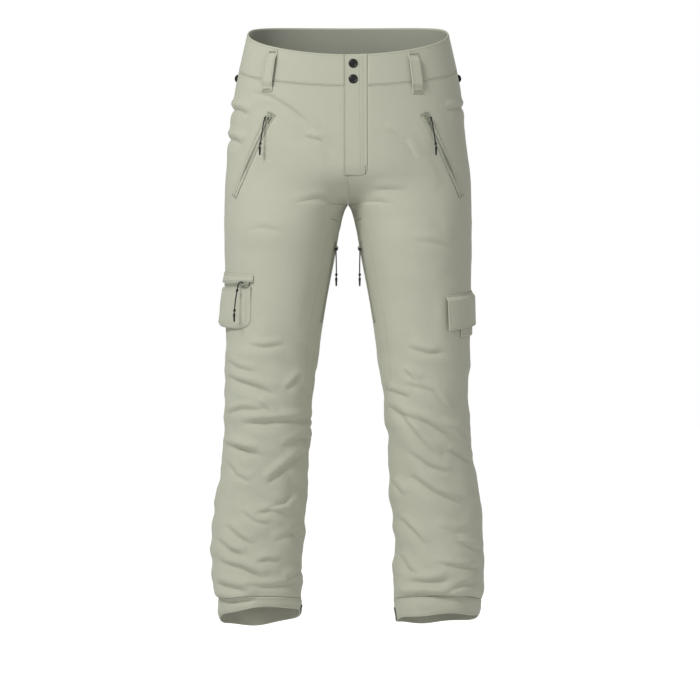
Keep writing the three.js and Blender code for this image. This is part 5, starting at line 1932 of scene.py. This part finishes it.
@dataclass
class HandPockets:
    """The two slanted hand pockets: zips, welts, bags of lining and cord pulls."""

    travel: float = 0.140
    top: tuple[float, float] = (0.137, -0.133)
    bottom: tuple[float, float] = (0.205, -0.292)
    bag_top: float = -0.118
    bag_bottom: float = -0.288
    ahead: float = 26.0
    behind: float = 7.0

    def zips(self) -> list[Zip]:
        """The pockets' zips."""
        return [
            Zip(f"hand_zip_{w}", ZipPath.of(f"hand_slider_{w}_glide", f"hand_pull_{w}_swing"), self.travel)
            for w, _ in SIDES
        ]

    def bag(self, word: str, side: int) -> Layer:
        """The flat bag of lining behind the zip."""
        ends = [float(FORM.turn_at_x(x, np.array(z))) for x, z in (self.top, self.bottom)]

        def place(u: Array, v: Array) -> tuple[Array, Array]:
            """Points of the cloth over the bag."""
            z = lerp(self.bag_top, self.bag_bottom, v)
            share = (np.clip(z, self.bottom[1], self.top[1]) - self.top[1]) / (self.bottom[1] - self.top[1])
            s = lerp(ends[0], ends[1], share) + lerp(-self.ahead, self.behind, u) / 90
            return DRAPE.skin(side, s, z)

        def over(u: Array, v: Array) -> Array:
            """The bag's outer face."""
            return -lerp(0.0034, 0.0062, inside(u, v))

        def under(u: Array, v: Array) -> Array:
            """The bag's inner face."""
            return over(u, v) - 0.0024

        return Layer(f"hand_pocket_bag_{word}_cloth", place, 40, 50, over, under, 0.002)

    def build(self) -> None:
        """Builds both pockets."""
        for (word, side), zipper in zip(SIDES, self.zips()):
            zipper.build()
            zipper.lips(side, -0.95, -0.02)
            bag = self.bag(word, side)
            piece = dress(bag.build(), LINING_CLOTH, "pants", [f"hand_pocket_bag_{word}"])
            bag.flat_size()
            dress_solid(f"hand_slider_{word}", SLIDER_PAINT)
            _, _, _, across = zipper.path.at(np.array(0.0))
            cord_in(
                zipper.path, f"hand_pull_{word}_swing", f"hand_pull_{word}", f"hand_cord_{word}", HAND_ROUTE,
                across * side,
            ).build()  # fmt: skip


@dataclass
class Vents:
    """The zipped vents inside the thighs, each with mesh behind it and a cord pull."""

    travel: float = 0.120
    turn: float = 163.0
    top: float = -0.356
    margin: float = 0.022
    half_turn: float = 12.0

    def zips(self) -> list[Zip]:
        """The vents' zips."""
        return [
            Zip(f"vent_zip_{w}", ZipPath.of(f"vent_slider_{w}_slide", f"vent_pull_{w}_swing"), self.travel)
            for w, _ in SIDES
        ]

    def build(self) -> None:
        """Builds both vents."""
        for (word, side), zipper in zip(SIDES, self.zips()):
            zipper.build()
            zipper.lips(side, -0.999, -0.5)

            def place(u: Array, v: Array, side: int = side) -> tuple[Array, Array]:
                """Points of the thigh over the mesh."""
                angle = lerp(self.turn - self.half_turn, 179.0, u)
                foot = self.top - self.travel - self.margin
                return DRAPE.on_leg(side, angle, lerp(self.top + self.margin, foot, v))

            def over(u: Array, v: Array) -> Array:
                """The mesh's outer face."""
                return -lerp(0.0031, 0.0054, inside(u, v))

            def under(u: Array, v: Array) -> Array:
                """The mesh's inner face."""
                return over(u, v) - 0.0009

            mesh = Layer(f"vent_mesh_{word}_cloth", place, 16, 60, over, under, 0.0006)
            piece = dress(mesh.build(), MESH_CLOTH, "pants", [f"vent_mesh_{word}"])
            dress_solid(f"vent_slider_{word}", SLIDER_PAINT)
            _, _, _, across = zipper.path.at(np.array(0.0))
            cord_in(
                zipper.path, f"vent_pull_{word}_swing", f"vent_pull_{word}", f"vent_cord_{word}", VENT_ROUTE,
                across * side,
            ).build()  # fmt: skip


@dataclass
class CargoPockets:
    """The zipped bellows pocket on the right leg and the flapped pocket on the left."""

    travel: float = 0.055
    patch_gap: float = 0.0006

    def patch(
        self, name: str, side: int, turns: tuple[float, float], top: tuple[float, float],
        bottom: tuple[float, float], faces: tuple[Height, Height], grid: tuple[int, int], roll: float,
        corner: float = 0.0,
    ) -> Layer:  # fmt: skip
        """A patch on one leg between two angles; its top and bottom are given at its back and its front.

        corner is how much its lower front corner is rounded off.
        """

        def place(u: Array, v: Array) -> tuple[Array, Array]:
            """Points of the leg under the patch."""
            turned_off = np.clip((u - 0.72) / 0.28, 0, 1)
            foot = lerp(bottom[0], bottom[1], u) + corner * (1 - np.sqrt(1 - 0.995 * turned_off**2))
            z = lerp(lerp(top[0], top[1], u), foot, v)
            return DRAPE.on_leg(side, lerp(turns[0], turns[1], u), z)

        return Layer(name, place, grid[0], grid[1], faces[0], faces[1], roll)

    def build_zipped(self) -> None:
        """The pocket that closes with a zip: welt, zip, bellows and cord pull."""

        def rise(u: Array, v: Array) -> Array:
            """The welt's face: flush with the leg along its top, and level with the zip along its foot."""
            return lerp(0.0018, 0.0043, smoothstep(v, 0, 0.85))

        welt = self.patch(
            "cargo_welt_cloth", -1, (-22, 64), (-0.395, -0.404), (-0.4165, -0.4165), (rise, self.patch_gap),
            (60, 12), 0.0016,
        )  # fmt: skip
        piece = dress(welt.build(), SHELL_CLOTH, "pants", ["cargo_welt"])
        welt.flat_size()
        for edge in (Edge.TOP, Edge.END, Edge.BOTTOM):
            NEEDLE.sew(welt.border(edge, 0.0032))
        path = ZipPath.of("cargo_slider_glide", "cargo_pull_swing")
        Zip("cargo_zip", path, self.travel).build()

        def swell(u: Array, v: Array) -> Array:
            """The bellows' face: low by the zip, fullest above its foot, and softly uneven."""
            full = lerp(0.0043, 0.0125, v * (1.6 - 0.6 * v))
            full = lerp(full, 0.0034, smoothstep(u, 0.35, 1.0))
            crumple = 0.0006 * np.sin(u * 9 + 2.5 * v) * np.sin(v * 11 + 1.2) * inside(u, v)
            return full - 0.0022 * (1 - inside(u, v)) * smoothstep(v, 0.15, 0.5) + crumple

        pouch = self.patch(
            "cargo_pouch_right_cloth", -1, (-20, 62), (-0.4235, -0.4235), (-0.489, -0.500),
            (swell, self.patch_gap), (64, 44), 0.0028, 0.018,
        )  # fmt: skip
        dress(pouch.build(), SHELL_CLOTH, "pants", ["cargo_pouch_right"])
        NEEDLE.sew(pouch.border(Edge.TOP, 0.0045))
        NEEDLE.sew(pouch.border(Edge.END, 0.009, 0.008))
        NEEDLE.sew(pouch.border(Edge.BOTTOM, 0.009, 0.008))
        dress_solid("cargo_slider", SLIDER_PAINT)
        _, down, _, _ = path.at(np.array(0.0))
        cord = cord_in(path, "cargo_pull_swing", "cargo_pull", "cargo_cord", CARGO_ROUTE, down)
        cord.knots = (0.62, 0.95)
        cord.build()

    def build_flapped(self) -> None:
        """The pocket that closes with a flap: a flat pouch and the flap over it."""
        pouch = self.patch(
            "cargo_pouch_left_cloth", 1, (-14, 40), (-0.452, -0.452), (-0.506, -0.512),
            (0.0040, self.patch_gap), (44, 40), 0.0035,
        )  # fmt: skip
        dress(pouch.build(), SHELL_CLOTH, "pants", ["cargo_pouch_left"])
        for edge in (Edge.START, Edge.END, Edge.BOTTOM):
            NEEDLE.sew(pouch.border(edge, 0.0042))

        def under(u: Array, v: Array) -> Array:
            """The flap's inner face: sewn to the leg at its top, then clear of the pouch."""
            return lerp(self.patch_gap, lerp(0.0053, 0.0082, v), smoothstep(v, 0.03, 0.16))

        def over(u: Array, v: Array) -> Array:
            """The flap's outer face."""
            return under(u, v) + 0.0017

        flap = self.patch(
            "cargo_flap_cloth", 1, (-20, 61), (-0.427, -0.440), (-0.484, -0.501), (over, under),
            (64, 44), 0.0015,
        )  # fmt: skip
        piece = dress(flap.build(), SHELL_CLOTH, "", ["cargo_flap"])
        flap.flat_size()
        seam, _ = flap.line(np.array([0.5]), np.array([0.06]))
        below, _ = flap.line(np.array([0.5]), np.array([0.26]))
        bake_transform(piece)
        NEEDLE.sew(flap.border(Edge.TOP, 0.0022))
        for edge in (Edge.START, Edge.END, Edge.BOTTOM):
            NEEDLE.sew(flap.border(edge, 0.003, 0.014 if edge is not Edge.BOTTOM else 0.003), "cargo_flap")

    def build(self) -> None:
        """Builds both pockets."""
        self.build_zipped()
        self.build_flapped()


# ---------------------------------------------------------------- the studio


@dataclass
class Studio:
    """A pale floor, soft lights and a level camera with a long lens.

    Each lamp has its place, its size and its power. The floor and the backdrop are white where they are seen.
    """

    distance: float = 12.0
    aim: tuple[float, float] = (0.0035, -0.534)
    width: float = 1.225
    floor: float = -1.141
    floor_reach: float = 40.0
    floor_glow: float = 0.72
    surround_level: float = 0.39
    lamps: dict[str, tuple[tuple[float, float, float], float, float]] = field(
        default_factory=lambda: {
            "key": ((-2.0, -2.3, 2.1), 1.1, 94.0),
            "fill": ((2.2, -3.2, 0.0), 2.4, 15.0),
            "back": ((0.6, 3.2, 1.6), 2.6, 30.0),
        }
    )

    def build(self) -> None:
        """Sets up the camera, lights, world and floor."""
        scene = bpy.context.scene
        camera = bpy.data.cameras.new("camera")
        camera.sensor_width = 36.0
        camera.lens = 36.0 * self.distance / self.width
        camera.clip_end = 100.0
        seen = bpy.data.objects.new("camera", camera)
        seen.location = (self.aim[0], -self.distance, self.aim[1])
        seen.rotation_euler = (math.pi / 2, 0, 0)
        scene.collection.objects.link(seen)
        scene.camera = seen
        scene.view_settings.view_transform = "Standard"
        for name, (place, size, power) in self.lamps.items():
            self.light(name, place, size, power)
        scene.world = self.surround()
        self.ground()

    def ground(self) -> None:
        """The pale floor that the pants stand over."""
        mesh = bpy.data.meshes.new("floor")
        corners = ((-1, -1), (1, -1), (1, 1), (-1, 1))
        reach = self.floor_reach
        mesh.from_pydata([(x * reach, y * reach, self.floor) for x, y in corners], [], [(0, 1, 2, 3)])
        paint = bpy.data.materials.new("pale_floor")
        paint.use_nodes = True
        shader = paint.node_tree.nodes["Principled BSDF"]
        shader.inputs["Base Color"].default_value = (0.82, 0.82, 0.82, 1)
        shader.inputs["Roughness"].default_value = 0.9
        shader.inputs["Emission Color"].default_value = (1, 1, 1, 1)
        tree = paint.node_tree
        seen = tree.nodes.new("ShaderNodeLightPath")
        glow = tree.nodes.new("ShaderNodeMapRange")
        glow.inputs["To Max"].default_value = self.floor_glow
        tree.links.new(seen.outputs["Is Camera Ray"], glow.inputs["Value"])
        tree.links.new(glow.outputs["Result"], shader.inputs["Emission Strength"])
        mesh.materials.append(paint)
        ground = bpy.data.objects.new("floor", mesh)
        bpy.context.scene.collection.objects.link(ground)

    def surround(self) -> bpy.types.World:
        """Soft light from all round, under a backdrop that is white where it is seen."""
        world = bpy.data.worlds.new("studio")
        world.use_nodes = True
        tree = world.node_tree
        tree.nodes["Background"].inputs["Color"].default_value = (1, 1, 1, 1)
        seen = tree.nodes.new("ShaderNodeLightPath")
        level = tree.nodes.new("ShaderNodeMapRange")
        level.inputs["To Min"].default_value = self.surround_level
        level.inputs["To Max"].default_value = 1.0
        tree.links.new(seen.outputs["Is Camera Ray"], level.inputs["Value"])
        tree.links.new(level.outputs["Result"], tree.nodes["Background"].inputs["Strength"])
        return world

    def light(self, name: str, place: tuple[float, float, float], size: float, power: float) -> None:
        """A soft square light that faces the middle of the pants."""
        lamp = bpy.data.lights.new(name, "AREA")
        lamp.size, lamp.energy = size, power
        made = bpy.data.objects.new(name, lamp)
        made.location = place
        way = Vector((0, 0, -0.5)) - Vector(place)
        made.rotation_euler = way.to_track_quat("-Z", "Y").to_euler()
        made.visible_camera = False
        bpy.context.scene.collection.objects.link(made)


def main() -> None:
    """Builds the studio and every sub-assembly."""
    logging.basicConfig(level=logging.INFO, format="%(name)s %(message)s")
    Studio().build()
    pockets, vents = HandPockets(), Vents()
    pockets.build()
    vents.build()
    CargoPockets().build()
    ShellPanels(zips=(*pockets.zips(), *vents.zips())).build()
    Waistband().build()
    Fly().build()
    Loops().build()
    Hems().build()
    NEEDLE.finish()


if __name__ == "__main__":
    main()
